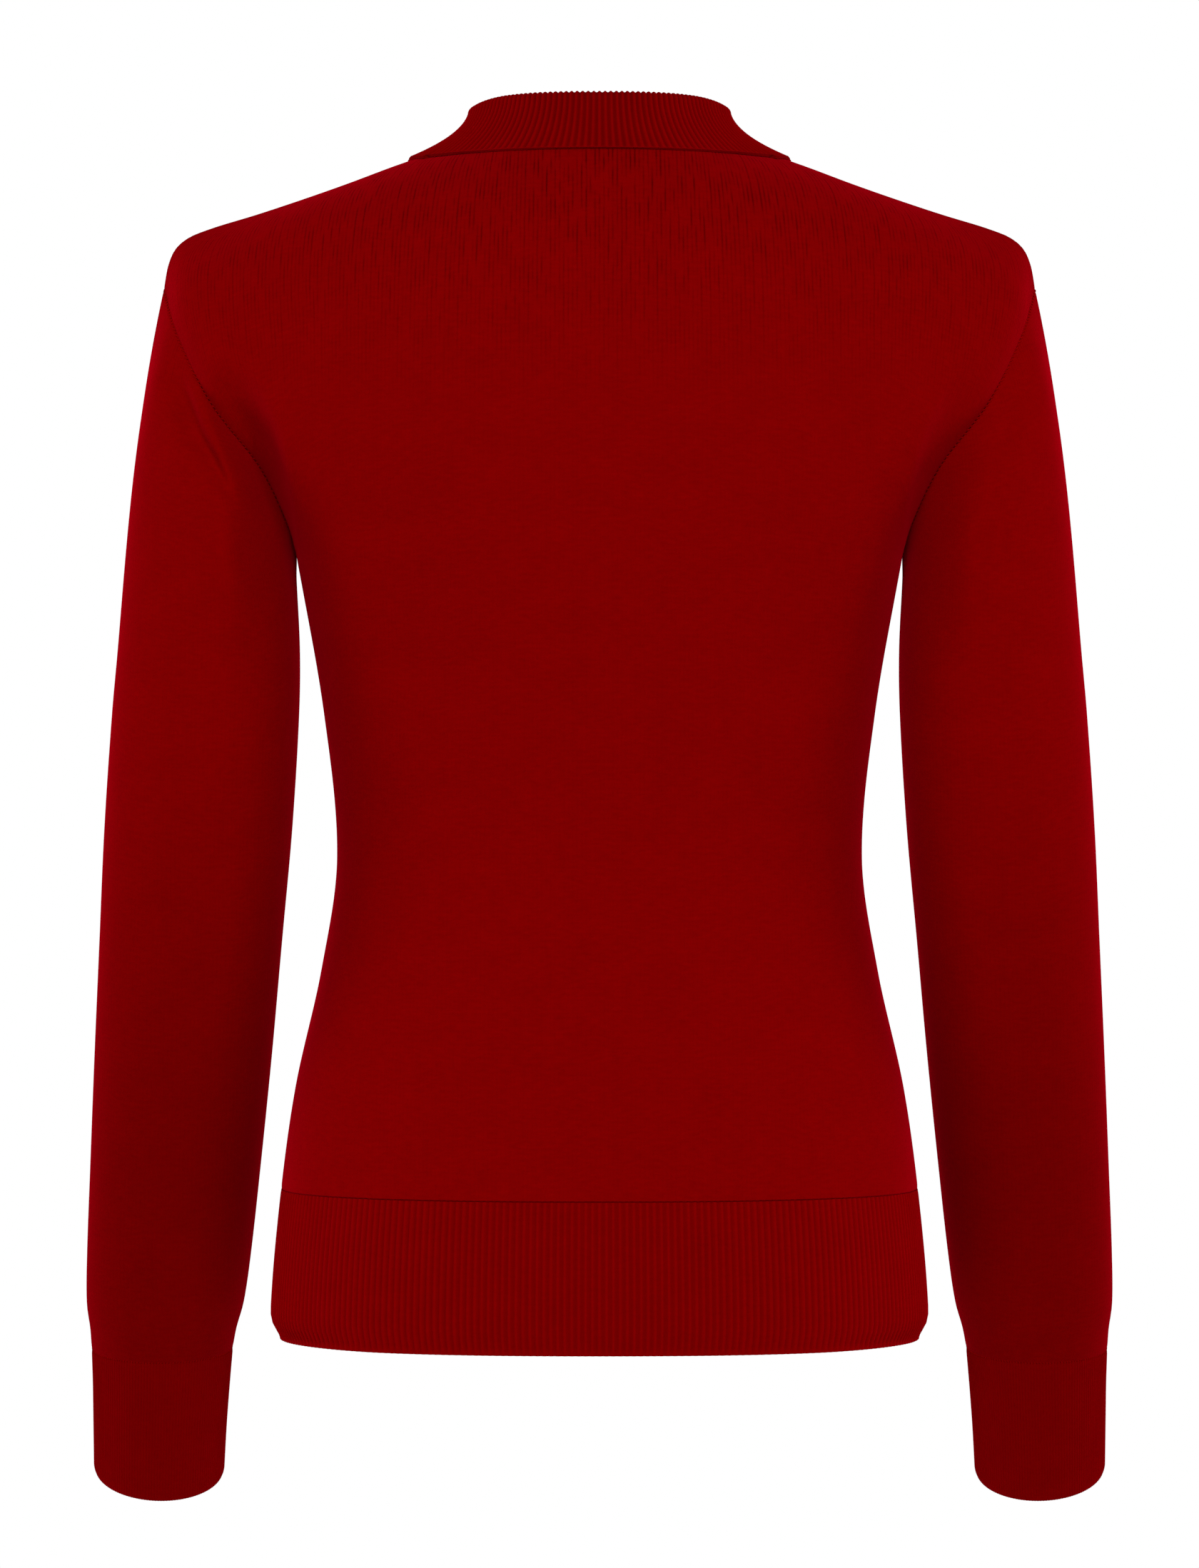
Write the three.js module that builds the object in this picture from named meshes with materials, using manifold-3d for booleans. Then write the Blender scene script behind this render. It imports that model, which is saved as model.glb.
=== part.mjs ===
// A woman's long-sleeved polo shirt in fine flat knit, filled out as if worn, with nobody in it.
//
// Millimetres, +Z up. The front faces -Y and the wearer's left arm is on +X. The origin is in the middle
// of the neck's base, level with the high points of the shoulders, where a wearer carries the shirt.
//
// Every piece of cloth is a wall of even thickness: a grid of points on its outer face, worked out from
// the sections below, and the same grid moved inwards along its normals.

import * as THREE from "three";
import { mergeVertices } from "three/addons/utils/BufferGeometryUtils.js";
import Module from "manifold-3d";

// Cloth
const KNIT = 1.5; // thickness of the flat knit
const RIB = 2; // thickness of the ribbed hem, cuffs and button bands
const COLLAR_RIB = 2.2;
const SEAM_GAP = 0.3; // between pieces that meet at a seam

// Heights
const UNDERARM = -199;
const BAND_TOP = -505;
const HEM = -577;

// The torso's horizontal sections: half its width, how far the middle of the back, the middle of the
// front and the side seams lie from the plane of the shoulders, and how square the section is.
const TORSO = [
  { z: HEM, half: 157, back: 113, front: -105, side: 2, square: 2.4 },
  { z: -562, half: 158.5, back: 115, front: -107, side: 2, square: 2.4 },
  { z: BAND_TOP, half: 153.5, back: 115, front: -108, side: 2, square: 2.35 },
  { z: -455, half: 146.5, back: 107, front: -105, side: 0, square: 2.3 },
  { z: -400, half: 134.5, back: 92, front: -98, side: -4, square: 2.2 },
  { z: -345, half: 127, back: 80, front: -93, side: -7, square: 2.2 },
  { z: -276, half: 133.3, back: 86, front: -106, side: -8, square: 2.3 },
  { z: UNDERARM, half: 146.5, back: 98, front: -119, side: -7, square: 2.75 },
];

// The neckline, seen from above, is an oval that drops towards the front.
const NECK = { half: 62, back: 54, front: 72, backHeight: 3, sideHeight: 0, frontDrop: 64 };

// The shoulder seam, from the neck out over the shoulder's corner to the top of the armhole.
const SHOULDER = [
  { x: NECK.half, y: 0, z: NECK.sideHeight },
  { x: 96, y: -1, z: -11 },
  { x: 145, y: -2, z: -27.5 },
  { x: 188, y: -3, z: -41.5 },
  { x: 203, y: -3.5, z: -49 },
  { x: 208.5, y: -4, z: -60 },
  { x: 210, y: -4, z: -71 },
];

// The armhole seam's back and front halves, between the underarm and the top of the armhole.
const ARMHOLE_UNDER = { x: 146.5, y: -7, z: UNDERARM };
const ARMHOLE_BACK = [
  { x: 151, y: 24, z: -183 },
  { x: 163, y: 44, z: -158 },
  { x: 185, y: 43, z: -129 },
  { x: 202, y: 27, z: -96 },
];
const ARMHOLE_FRONT = [
  { x: 149, y: -34, z: -184 },
  { x: 157, y: -52, z: -159 },
  { x: 178, y: -49, z: -127 },
  { x: 200, y: -32, z: -94 },
];
const ARMHOLE_TOP = { x: 210, y: -4, z: -71 };

// The sleeve's rings below the armhole: the centre, half the width, half the depth, and how many degrees
// the back of the ring hangs below level.
const SLEEVE = [
  { z: -214, x: 188.5, y: -6, half: 42, deep: 53, tilt: 0 },
  { z: -245, x: 189, y: -5, half: 44, deep: 52, tilt: 0 },
  { z: -276, x: 190.5, y: -4, half: 45.2, deep: 50.5, tilt: 0 },
  { z: -331, x: 194, y: -4, half: 45.4, deep: 48, tilt: 0 },
  { z: -386, x: 198, y: -9, half: 44.2, deep: 46, tilt: 1 },
  { z: -442, x: 202.5, y: -22, half: 43.1, deep: 43.5, tilt: 3 },
  { z: -498, x: 207.5, y: -40, half: 41.6, deep: 41, tilt: 5 },
  { z: -541, x: 211.5, y: -54, half: 40.2, deep: 39.5, tilt: 7 },
  { z: -565, x: 213.8, y: -62, half: 38.6, deep: 37.8, tilt: 8 },
  { z: -578, x: 215, y: -66, half: 36, deep: 35, tilt: 9 },
  { z: -588, x: 215.8, y: -69.5, half: 34.8, deep: 33.6, tilt: 9 },
];
// The sleeve cap's lines end at the armhole and come from below. For each unit of height they lie this far
// out at the top of the armhole, this much further out halfway up it, and this far forwards or back there.
// Their handles' lengths are shares of the line.
const CAP = { top: 0.22, halfway: 0.5, spread: 0.15, lowerHandle: 0.36, upperHandle: 0.32 };
const CUFF = [
  { z: -588.6, x: 215.8, y: -69.7, half: 34.8, deep: 33.6, tilt: 9 },
  { z: -605, x: 216.6, y: -75, half: 33.9, deep: 32.6, tilt: 13 },
  { z: -627, x: 217.7, y: -81.5, half: 33, deep: 31.8, tilt: 19 },
  { z: -650, x: 218.6, y: -88, half: 32.3, deep: 31.2, tilt: 25 },
];

// The collar from the middle of the back to its front end. The turn is how many degrees round the neck;
// the fold is given from the neckline, and the fall's edge by its place.
const COLLAR_ROLL = 4; // radius of the fold, on the outside
const COLLAR_END = 176;
const COLLAR_FOLD = [
  { turn: 0, out: 1, up: 15.9 },
  { turn: 45, out: 0.5, up: 17 },
  { turn: 90, out: -2.5, up: 18.5 },
  { turn: 135, out: 0, up: 15.5 },
  { turn: COLLAR_END, out: 2, up: 14 },
];
const COLLAR_EDGE = [
  { turn: 0, x: 0, y: 76, z: -8.5 },
  { turn: 30, x: 42, y: 66, z: -8.5 },
  { turn: 60, x: 76, y: 38, z: -8.5 },
  { turn: 90, x: 92, y: -3, z: -7.5 },
  { turn: 120, x: 94, y: -46, z: -20 },
  { turn: 150, x: 80, y: -80, z: -60 },
  { turn: COLLAR_END, x: 51, y: -100, z: -103 },
];

// How a body panel's columns rise from the chest to their top edge. In the middle of the panel, the upper
// handle lies this far out, as a share of the depth to cross, and this far down, as a share of the height
// to climb. The chest's slope runs on above the underarm in part.
const RISE = {
  back: { reach: 0.85, drop: 0.23, runOn: 0.7 },
  front: { reach: 0.5, drop: 0.35, runOn: 0.3 },
};
const RISE_HANDLE = 0.6; // the lower handle's share of the height to climb
const RISE_AT_SHOULDER = 0.85; // the reach there
const LESS_BY_ARMHOLE = 0.25; // of the reach
const MORE_BESIDE_NECK = 0.17; // of the back's reach, over a strip next to the neck
const STRIP_BESIDE_NECK = 1.7; // where that strip ends, in half widths of the neck
const DROP_ENDS = 1.8; // where the drop ends, in the same measure
const PULL_STARTS = 0.4; // the share of a panel's width from which its rows are drawn to the armhole

// The front opening: a slit in the front panel with a band on each side, the wearer's right over left.
const SLIT_HALF = 14.3;
const UPPER_BAND_HALF = 15.5;
const BAND_RUN_ON = 8; // how far the upper band runs on below the slit
const BUTTON = { radius: 5.6, thickness: 2.6, rim: 1.3, dish: 0.7, holeRadius: 0.75, holeSpread: 1.5 };
const BUTTONS = 3;
const END_BUTTONS = [1, 7]; // the band's cells, from the top, that carry the first and the last button

// Grid sizes. A column's share is of the way from the middle of a panel to its side. The first columns
// end at the neckline, at these turns, and the rest at these shares of the shoulder seam. The front's
// second column runs along the slit.
const LOWER_ROWS = 8;
const UPPER_ROWS = 10;
const SLIT_ROWS = 9; // of the upper rows
const CAP_ROWS = 5;
const BACK_COLUMNS = {
  shares: [0, 0.1, 0.2, 0.3, 0.4, 0.5, 0.6, 0.7, 0.8, 0.9, 1],
  turns: [0, 23, 45, 68],
  shoulder: [0, 0.22, 0.44, 0.64, 0.79, 0.91, 1],
};
const FRONT_COLUMNS = {
  shares: [0, 0.06, 0.13, 0.21, 0.29, 0.37, 0.46, 0.55, 0.65, 0.74, 0.83, 0.92, 1],
  turns: [180, 180 - 13.33, 150, 134, 119, 104],
  shoulder: [0, 0.22, 0.44, 0.64, 0.79, 0.91, 1],
};
const COLLAR_STEPS = 8; // from the middle of the back to the shoulder, and from there to the front end

const V = (x, y, z) => new THREE.Vector3(x, y, z);
const at = ({ x, y, z }) => V(x, y, z);
const mirror = (p) => V(-p.x, p.y, p.z);
const steps = (count, make) => Array.from({ length: count + 1 }, (_, i) => make(i / count));
const { lerp, smoothstep, degToRad: radians } = THREE.MathUtils;

// A function that gives every column of a table at any place between its rows, on smooth curves.
function smoothTable(rows, by) {
  const sorted = [...rows].sort((a, b) => a[by] - b[by]);
  const slope = (i, key) => {
    const a = sorted[Math.max(i - 1, 0)];
    const b = sorted[Math.min(i + 1, sorted.length - 1)];
    return (b[key] - a[key]) / (b[by] - a[by]);
  };
  return (place) => {
    const found = sorted.findIndex((row) => row[by] >= place);
    const i = found < 0 ? sorted.length - 1 : Math.max(found, 1);
    const [a, b] = [sorted[i - 1], sorted[i]];
    const run = b[by] - a[by];
    const t = (place - a[by]) / run;
    const made = {};
    for (const key of Object.keys(a)) {
      const rise = b[key] - a[key];
      const [start, end] = [slope(i - 1, key) * run, slope(i, key) * run];
      made[key] = a[key] + t * start + t * t * (3 * rise - 2 * start - end) + t ** 3 * (start + end - 2 * rise);
    }
    return made;
  };
}

// The outward normals of a grid whose columns run to the right and whose rows run up, seen from outside.
// beyond is the row that follows the last one on the next piece, where the cloth runs on smoothly.
function normals(grid, closed = false, beyond = grid.at(-1)) {
  const columns = grid[0].length;
  const column = (c) => (closed ? (c + columns) % columns : Math.min(Math.max(c, 0), columns - 1));
  const row = (r) => (r < grid.length ? grid[Math.max(r, 0)] : beyond);
  return grid.map((points, r) => points.map((_, c) => {
    const across = points[column(c + 1)].clone().sub(points[column(c - 1)]);
    const up = row(r + 1)[c].clone().sub(row(r - 1)[c]);
    return across.cross(up).normalize();
  }));
}

// The same grid moved outwards.
function moved(grid, distance, closed = false, beyond = grid.at(-1)) {
  const outwards = normals(grid, closed, beyond);
  return grid.map((row, r) => row.map((p, c) => p.clone().addScaledVector(outwards[r][c], distance)));
}

// A closed solid between an outer grid and the same grid moved inwards. A closed grid joins its last
// column to its first. Cells that keep() refuses are left out.
function wall(grid, thickness, { closed = false, keep = () => true, beyond = grid.at(-1) } = {}) {
  const rows = grid.length;
  const columns = grid[0].length;
  const inside = moved(grid, -thickness, closed, beyond);
  const positions = [grid, inside].flat(2).flatMap((p) => p.toArray());
  const lastColumn = closed ? columns : columns - 1;
  const kept = (r, c) => {
    const onGrid = r >= 0 && r < rows - 1 && (closed || (c >= 0 && c < lastColumn));
    return onGrid && keep(r, (c + columns) % columns);
  };
  const outer = (r, c) => r * columns + ((c + columns) % columns);
  const inner = (r, c) => rows * columns + outer(r, c);
  const triangles = [];
  for (let r = 0; r < rows - 1; r++) {
    for (let c = 0; c < lastColumn; c++) {
      if (!kept(r, c)) continue;
      const rightArm = grid[r][c].x + grid[r][(c + 1) % columns].x < 0; // halved as in a mirror there
      const quad = (a, b, c, d) => triangles.push(...(rightArm ? [b, c, d, b, d, a] : [a, b, c, a, c, d]));
      quad(outer(r, c), outer(r, c + 1), outer(r + 1, c + 1), outer(r + 1, c));
      quad(inner(r, c), inner(r + 1, c), inner(r + 1, c + 1), inner(r, c + 1));
      if (!kept(r - 1, c)) quad(inner(r, c), inner(r, c + 1), outer(r, c + 1), outer(r, c));
      if (!kept(r + 1, c)) quad(outer(r + 1, c), outer(r + 1, c + 1), inner(r + 1, c + 1), inner(r + 1, c));
      if (!kept(r, c - 1)) quad(outer(r, c), outer(r + 1, c), inner(r + 1, c), inner(r, c));
      if (!kept(r, c + 1)) quad(inner(r, c + 1), inner(r + 1, c + 1), outer(r + 1, c + 1), outer(r, c + 1));
    }
  }
  const geometry = new THREE.BufferGeometry();
  geometry.setAttribute("position", new THREE.Float32BufferAttribute(positions, 3));
  geometry.setIndex(triangles);
  const usedOnly = mergeVertices(geometry.toNonIndexed(), 1e-4);
  usedOnly.computeVertexNormals();
  return usedOnly;
}

// The grid with its border drawn in by half a seam gap: its first and last rows, and its first and last
// columns unless it is a closed tube.
function trimmed(grid, closed = false) {
  const towards = (p, q) => p.clone().addScaledVector(q.clone().sub(p).normalize(), SEAM_GAP / 2);
  const made = grid.map((row) => row.map((p) => p.clone()));
  const last = grid.length - 1;
  made[0] = grid[0].map((p, c) => towards(p, grid[1][c]));
  made[last] = grid[last].map((p, c) => towards(p, grid[last - 1][c]));
  if (closed) return made;
  for (const row of made) {
    const [first, final] = [towards(row[0], row[1]), towards(row.at(-1), row.at(-2))];
    row[0] = first;
    row[row.length - 1] = final;
  }
  return made;
}

// A mirrored grid, its columns turned round so that they still run to the right.
const mirrored = (grid) => grid.map((row) => row.map(mirror).reverse());

// Points of a polyline at the given shares of its length.
function atShares(points, shares) {
  const path = new THREE.CurvePath();
  for (let i = 1; i < points.length; i++) path.add(new THREE.LineCurve3(points[i - 1], points[i]));
  return shares.map((share) => path.getPointAt(share));
}

const smoothLine = (rows) => new THREE.CatmullRomCurve3(rows.map(at), false, "centripetal").getPoints(60);

const torsoAt = smoothTable(TORSO, "z");

const columnsOf = (facing) => (facing > 0 ? BACK_COLUMNS : FRONT_COLUMNS);

// Half of a torso section, from its middle to the +X side seam. facing is 1 for the back, -1 for the front.
function halfSection(z, facing) {
  const { half, back, front, side, square } = torsoAt(z);
  const depth = (facing > 0 ? back : front) - side;
  const fine = steps(30, (share) => {
    const angle = (share * Math.PI) / 2;
    const round = (value) => Math.max(value, 0) ** (2 / square);
    return V(half * round(Math.sin(angle)), side + depth * round(Math.cos(angle)), z);
  });
  return atShares(fine, columnsOf(facing).shares);
}

// A point of the neckline. turn is 0 in the middle of the back, 90 at the shoulder and 180 at the front.
function neckPoint(turn) {
  const [across, back] = [Math.sin(radians(turn)), Math.cos(radians(turn))];
  const depth = back > 0 ? NECK.back : NECK.front;
  const height = back > 0
    ? lerp(NECK.sideHeight, NECK.backHeight, back)
    : NECK.sideHeight - NECK.frontDrop * (-back) ** 1.3;
  return V(NECK.half * across, depth * back, height);
}

// The top edge of a body panel, from its middle along the neckline and the shoulder seam to the armhole.
function topEdge(facing) {
  const { turns, shoulder } = columnsOf(facing);
  return [...turns.map(neckPoint), ...atShares(smoothLine(SHOULDER), shoulder)];
}

// Half of the armhole seam, from the underarm to the top, at even steps.
function armholeHalf(facing) {
  const rows = [ARMHOLE_UNDER, ...(facing > 0 ? ARMHOLE_BACK : ARMHOLE_FRONT), ARMHOLE_TOP];
  return atShares(smoothLine(rows), steps(UPPER_ROWS, (share) => share));
}

// The +X half of a body panel: rows from the top of the hem band to the shoulder, columns from its middle.
function halfPanel(facing) {
  const rows = steps(LOWER_ROWS, (share) => halfSection(lerp(BAND_TOP, UNDERARM, share), facing));
  const { shares } = columnsOf(facing);
  const chest = rows[LOWER_ROWS];
  const top = topEdge(facing);
  const armhole = armholeHalf(facing);
  const { reach: middleReach, drop: middleDrop, runOn } = facing > 0 ? RISE.back : RISE.front;
  const belowChest = halfSection(UNDERARM - 1, facing);
  const columns = chest.map((low, j) => {
    const high = top[j];
    const [rise, depth] = [high.z - low.z, low.y - high.y];
    const stripEnd = STRIP_BESIDE_NECK * NECK.half;
    const besideNeck = high.x < NECK.half ? 0 : 1 - smoothstep(high.x, NECK.half, stripEnd);
    const more = facing > 0 ? MORE_BESIDE_NECK * besideNeck : 0;
    const less = LESS_BY_ARMHOLE * smoothstep(shares[j], 0.6, 1);
    const reach = lerp(middleReach, RISE_AT_SHOULDER, smoothstep(high.x, 0, NECK.half)) + more - less;
    const drop = middleDrop * (1 - smoothstep(high.x, 0, DROP_ENDS * NECK.half));
    const slope = (low.y - belowChest[j].y) * runOn;
    const startHandle = low.clone().add(V(0, slope, 1).multiplyScalar(rise * RISE_HANDLE));
    const endHandle = high.clone().add(V(0, depth * reach, -rise * drop));
    return new THREE.CubicBezierCurve3(low, startHandle, endHandle, high);
  });
  const side = columns.at(-1);
  for (let i = 1; i <= UPPER_ROWS; i++) {
    const share = i / UPPER_ROWS;
    const pull = armhole[i].clone().sub(side.getPoint(share));
    rows.push(columns.map((curve, j) => (
      curve.getPoint(share).addScaledVector(pull, smoothstep(shares[j], PULL_STARTS, 1))
    )));
  }
  return rows;
}

// The row past a panel's top one: at the shoulder seam the other panel's, and at the neckline its own.
function pastTop(grid) {
  const [below, top] = [grid.at(-2), grid.at(-1)];
  return top.map((p, c) => {
    const onShoulder = Math.abs(p.x) >= NECK.half - 1;
    return onShoulder ? V(below[c].x, 2 * p.y - below[c].y, below[c].z) : p;
  });
}

// A whole panel or band from its +X half, its columns running to the right as seen from outside.
function wholeFromHalf(half, facing) {
  return half.map((row) => {
    const others = row.slice(1).map(mirror);
    return facing > 0 ? [...row].reverse().concat(others) : others.reverse().concat(row);
  });
}

// A band of the hem under a body panel.
function hemGrid(facing) {
  const HEM_ROWS = 2;
  return wholeFromHalf(steps(HEM_ROWS, (share) => halfSection(lerp(HEM, BAND_TOP, share), facing)), facing);
}

// A point of a sleeve's or cuff's ring. The angle is 0 at the underarm and turns by way of the front.
function ringPoint({ x, y, z, half, deep, tilt }, angle) {
  const back = -Math.sin(angle) * deep;
  const lean = radians(tilt);
  return V(x - Math.cos(angle) * half, y + back * Math.cos(lean), z - back * Math.sin(lean));
}
const RING_COLUMNS = 2 * UPPER_ROWS;
const ring = (row) => steps(RING_COLUMNS - 1, (share) => (
  ringPoint(row, (share * (RING_COLUMNS - 1) * 2 * Math.PI) / RING_COLUMNS)
));

// The left sleeve, from the cuff's seam to the armhole.
function sleeveGrid() {
  const rows = [...SLEEVE].reverse().map(ring);
  const [front, back] = [armholeHalf(-1), armholeHalf(1)];
  const armhole = [...front, ...back.reverse().slice(1, -1)].map((p) => p.clone().add(V(SEAM_GAP, 0, 0)));
  const caps = armhole.map((high, c) => {
    const low = rows.at(-1)[c];
    const reach = low.distanceTo(high);
    const share = 1 - Math.abs(c - UPPER_ROWS) / UPPER_ROWS; // 0 at the underarm, 1 at the top
    const bulge = Math.sin(Math.PI * share);
    const out = CAP.top * share + CAP.halfway * bulge;
    const along = (c < UPPER_ROWS ? -1 : 1) * CAP.spread * bulge;
    const leave = V(out, along, -1).normalize();
    const arrive = low.clone().sub(rows.at(-2)[c]).normalize();
    const startHandle = low.clone().addScaledVector(arrive, reach * CAP.lowerHandle);
    const endHandle = high.clone().addScaledVector(leave, reach * CAP.upperHandle);
    return new THREE.CubicBezierCurve3(low, startHandle, endHandle, high);
  });
  for (let i = 1; i <= CAP_ROWS; i++) rows.push(caps.map((curve) => curve.getPoint(i / CAP_ROWS)));
  return rows;
}

// The point moved outwards, where it must, to lie at least a distance above the grid's surface. The point
// is on the side of the wearer's left arm.
function clearOf(grid, p, distance) {
  const triangle = new THREE.Triangle();
  const near = V(0, 0, 0);
  const best = { gap: Infinity, point: V(0, 0, 0), outward: V(0, 0, 0) };
  for (let r = 0; r < grid.length - 1; r++) {
    for (let c = 0; c < grid[0].length - 1; c++) {
      const corners = [grid[r][c], grid[r][c + 1], grid[r + 1][c + 1], grid[r + 1][c]];
      for (const half of [[0, 1, 2], [0, 2, 3]]) {
        triangle.set(...half.map((k) => corners[k]));
        triangle.closestPointToPoint(p, near);
        if (near.distanceTo(p) >= best.gap) continue;
        best.gap = near.distanceTo(p);
        best.point.copy(near);
        triangle.getNormal(best.outward);
      }
    }
  }
  const height = p.clone().sub(best.point).dot(best.outward);
  return height < distance ? p.clone().addScaledVector(best.outward, distance - height) : p;
}

// The collar: rows from the edge of the fall up over the fold and down the inside of the stand.
function collarGrid() {
  const ABOVE_BACK = COLLAR_RIB + 1; // least height of the fall's outer face above the body panels
  const ABOVE_FRONT = COLLAR_RIB + 3.2;
  const OVER_BAND = 3; // more of it over the button bands
  const [foldAt, edgeAt] = [smoothTable(COLLAR_FOLD, "turn"), smoothTable(COLLAR_EDGE, "turn")];
  const profile = (turn) => {
    const neck = neckPoint(turn);
    const depth = turn < 90 ? NECK.back : NECK.front;
    const out = V(neck.x / NECK.half ** 2, neck.y / depth ** 2, 0).normalize();
    const up = V(0, 0, 1);
    const fold = foldAt(turn);
    const edge = at(edgeAt(turn));
    const centre = neck.clone().addScaledVector(out, fold.out).addScaledVector(up, fold.up - COLLAR_ROLL);
    const onRoll = (angle) => centre.clone()
      .addScaledVector(out, COLLAR_ROLL * Math.cos(angle))
      .addScaledVector(up, COLLAR_ROLL * Math.sin(angle));
    const shoulderOfFall = onRoll(0);
    const drop = shoulderOfFall.z - edge.z;
    const fall = new THREE.QuadraticBezierCurve3(
      edge, shoulderOfFall.clone().addScaledVector(up, -drop * 0.5), shoulderOfFall);
    const lift = lerp(SEAM_GAP, 3 * SEAM_GAP, smoothstep(turn, 70, 100));
    const base = neck.clone().addScaledVector(out, -COLLAR_RIB).addScaledVector(up, lift);
    const stand = new THREE.LineCurve3(onRoll(Math.PI), base);
    const settle = (p) => {
      const overBand = p.y < 0 ? 1 - smoothstep(p.x, UPPER_BAND_HALF, 2 * UPPER_BAND_HALF) : 0;
      const height = lerp(ABOVE_BACK, ABOVE_FRONT, smoothstep(turn, 80, 110)) + OVER_BAND * overBand;
      return clearOf(p.y > 0 ? backGrid : frontGrid, p, height);
    };
    return [
      ...fall.getPoints(6).map(settle),
      ...[45, 90, 135, 180].map((degrees) => onRoll(radians(degrees))),
      ...stand.getPoints(2).slice(1),
    ];
  };
  const half = [
    ...steps(COLLAR_STEPS, (share) => profile(90 * share)),
    ...steps(COLLAR_STEPS, (share) => profile(lerp(90, COLLAR_END, share))).slice(1),
  ];
  const columns = [...half.slice(1).reverse(), ...half.map((points) => points.map(mirror))];
  return columns[0].map((_, r) => columns.map((points) => points[r]));
}

const mesh = (name, geometry, material) => {
  const made = new THREE.Mesh(geometry, material);
  made.name = name;
  return made;
};

const knit = () => new THREE.MeshStandardMaterial({ color: 0x780304, roughness: 0.85, metalness: 0 });
const rib = () => new THREE.MeshStandardMaterial({ color: 0x6e0304, roughness: 0.88, metalness: 0 });
const plastic = () => new THREE.MeshStandardMaterial({ color: 0x5c0506, roughness: 0.35, metalness: 0 });

const shirt = new THREE.Group();
shirt.name = "polo_shirt";

// Body and hem
const backGrid = wholeFromHalf(halfPanel(1), 1);
shirt.add(mesh("back_panel", wall(trimmed(backGrid), KNIT, { beyond: pastTop(backGrid) }), knit()));

// The front's columns next to the middle are moved onto the slit's edges.
const frontHalf = halfPanel(-1).map((row) => {
  const [middle, near, ...others] = row;
  return [middle, middle.clone().lerp(near, SLIT_HALF / near.x), ...others];
});
const frontGrid = wholeFromHalf(frontHalf, -1);
const middleColumn = (frontGrid[0].length - 1) / 2;
const topRow = frontGrid.length - 1;
const slitRow = topRow - SLIT_ROWS;
const besideSlit = (r, c) => r < slitRow || c < middleColumn - 1 || c > middleColumn;
const frontWall = wall(trimmed(frontGrid), KNIT, { keep: besideSlit, beyond: pastTop(frontGrid) });
shirt.add(mesh("front_panel", frontWall, knit()));

for (const [name, facing] of [["back", 1], ["front", -1]]) {
  shirt.add(mesh(`hem_band_${name}`, wall(trimmed(hemGrid(facing)), RIB), rib()));
}

// Sleeves and cuffs
const leftSleeve = trimmed(trimmed(sleeveGrid(), true), true);
const leftCuff = [...CUFF].reverse().map(ring);
for (const [name, side] of [["left", (grid) => grid], ["right", mirrored]]) {
  shirt.add(mesh(`sleeve_${name}`, wall(side(leftSleeve), KNIT, { closed: true }), knit()));
  shirt.add(mesh(`cuff_${name}`, wall(side(leftCuff), RIB, { closed: true }), rib()));
}

// Collar
shirt.add(mesh("collar", wall(collarGrid(), COLLAR_RIB), rib()));

// The front panel's points from the foot of the slit up, and from -half to half across it.
function openingGrid(half) {
  return frontGrid.slice(slitRow).map((row) => {
    const [middle, edge] = [row[middleColumn], row[middleColumn + 1]];
    const end = middle.clone().lerp(edge, half / SLIT_HALF);
    return [mirror(end), middle, end];
  });
}
const underBand = trimmed(trimmed(openingGrid(SLIT_HALF - SEAM_GAP)));
shirt.add(mesh("button_band", wall(underBand, RIB), rib()));
const upperRows = openingGrid(UPPER_BAND_HALF);
const runOn = upperRows[0].map((p, c) => (
  p.clone().addScaledVector(p.clone().sub(upperRows[1][c]).normalize(), BAND_RUN_ON)
));
const upperBand = trimmed(moved([runOn, ...upperRows], RIB + SEAM_GAP));
shirt.add(mesh("buttonhole_band", wall(upperBand, RIB), rib()));

// A button with four holes, its back at the origin and its face towards +Z.
async function buttonGeometry() {
  const wasm = await Module();
  wasm.setup();
  const solid = (geometry) => {
    geometry.deleteAttribute("normal");
    geometry.deleteAttribute("uv");
    const { index, attributes } = mergeVertices(geometry, 1e-4);
    return new wasm.Manifold(new wasm.Mesh({
      numProp: 3, vertProperties: attributes.position.array, triVerts: Uint32Array.from(index.array),
    }));
  };
  const { radius, thickness, rim, dish, holeRadius, holeSpread } = BUTTON;
  const profile = [
    [0, 0], [radius - 0.8, 0], [radius, 0.8], [radius, thickness - 0.5], [radius - 0.5, thickness],
    [radius - rim, thickness], [radius - rim - 0.5, thickness - dish], [0, thickness - dish],
  ];
  let body = solid(new THREE.LatheGeometry(profile.map(([x, y]) => new THREE.Vector2(x, y)), 18));
  for (const [x, z] of [[1, 1], [1, -1], [-1, 1], [-1, -1]]) {
    const hole = new THREE.CylinderGeometry(holeRadius, holeRadius, 3 * thickness, 6);
    body = body.subtract(solid(hole.translate(x * holeSpread, 0, z * holeSpread)));
  }
  const cut = body.getMesh();
  const geometry = new THREE.BufferGeometry();
  geometry.setAttribute("position", new THREE.Float32BufferAttribute(cut.vertProperties, 3));
  geometry.setIndex([...cut.triVerts]);
  geometry.rotateX(Math.PI / 2);
  geometry.computeVertexNormals();
  return geometry;
}

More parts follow.
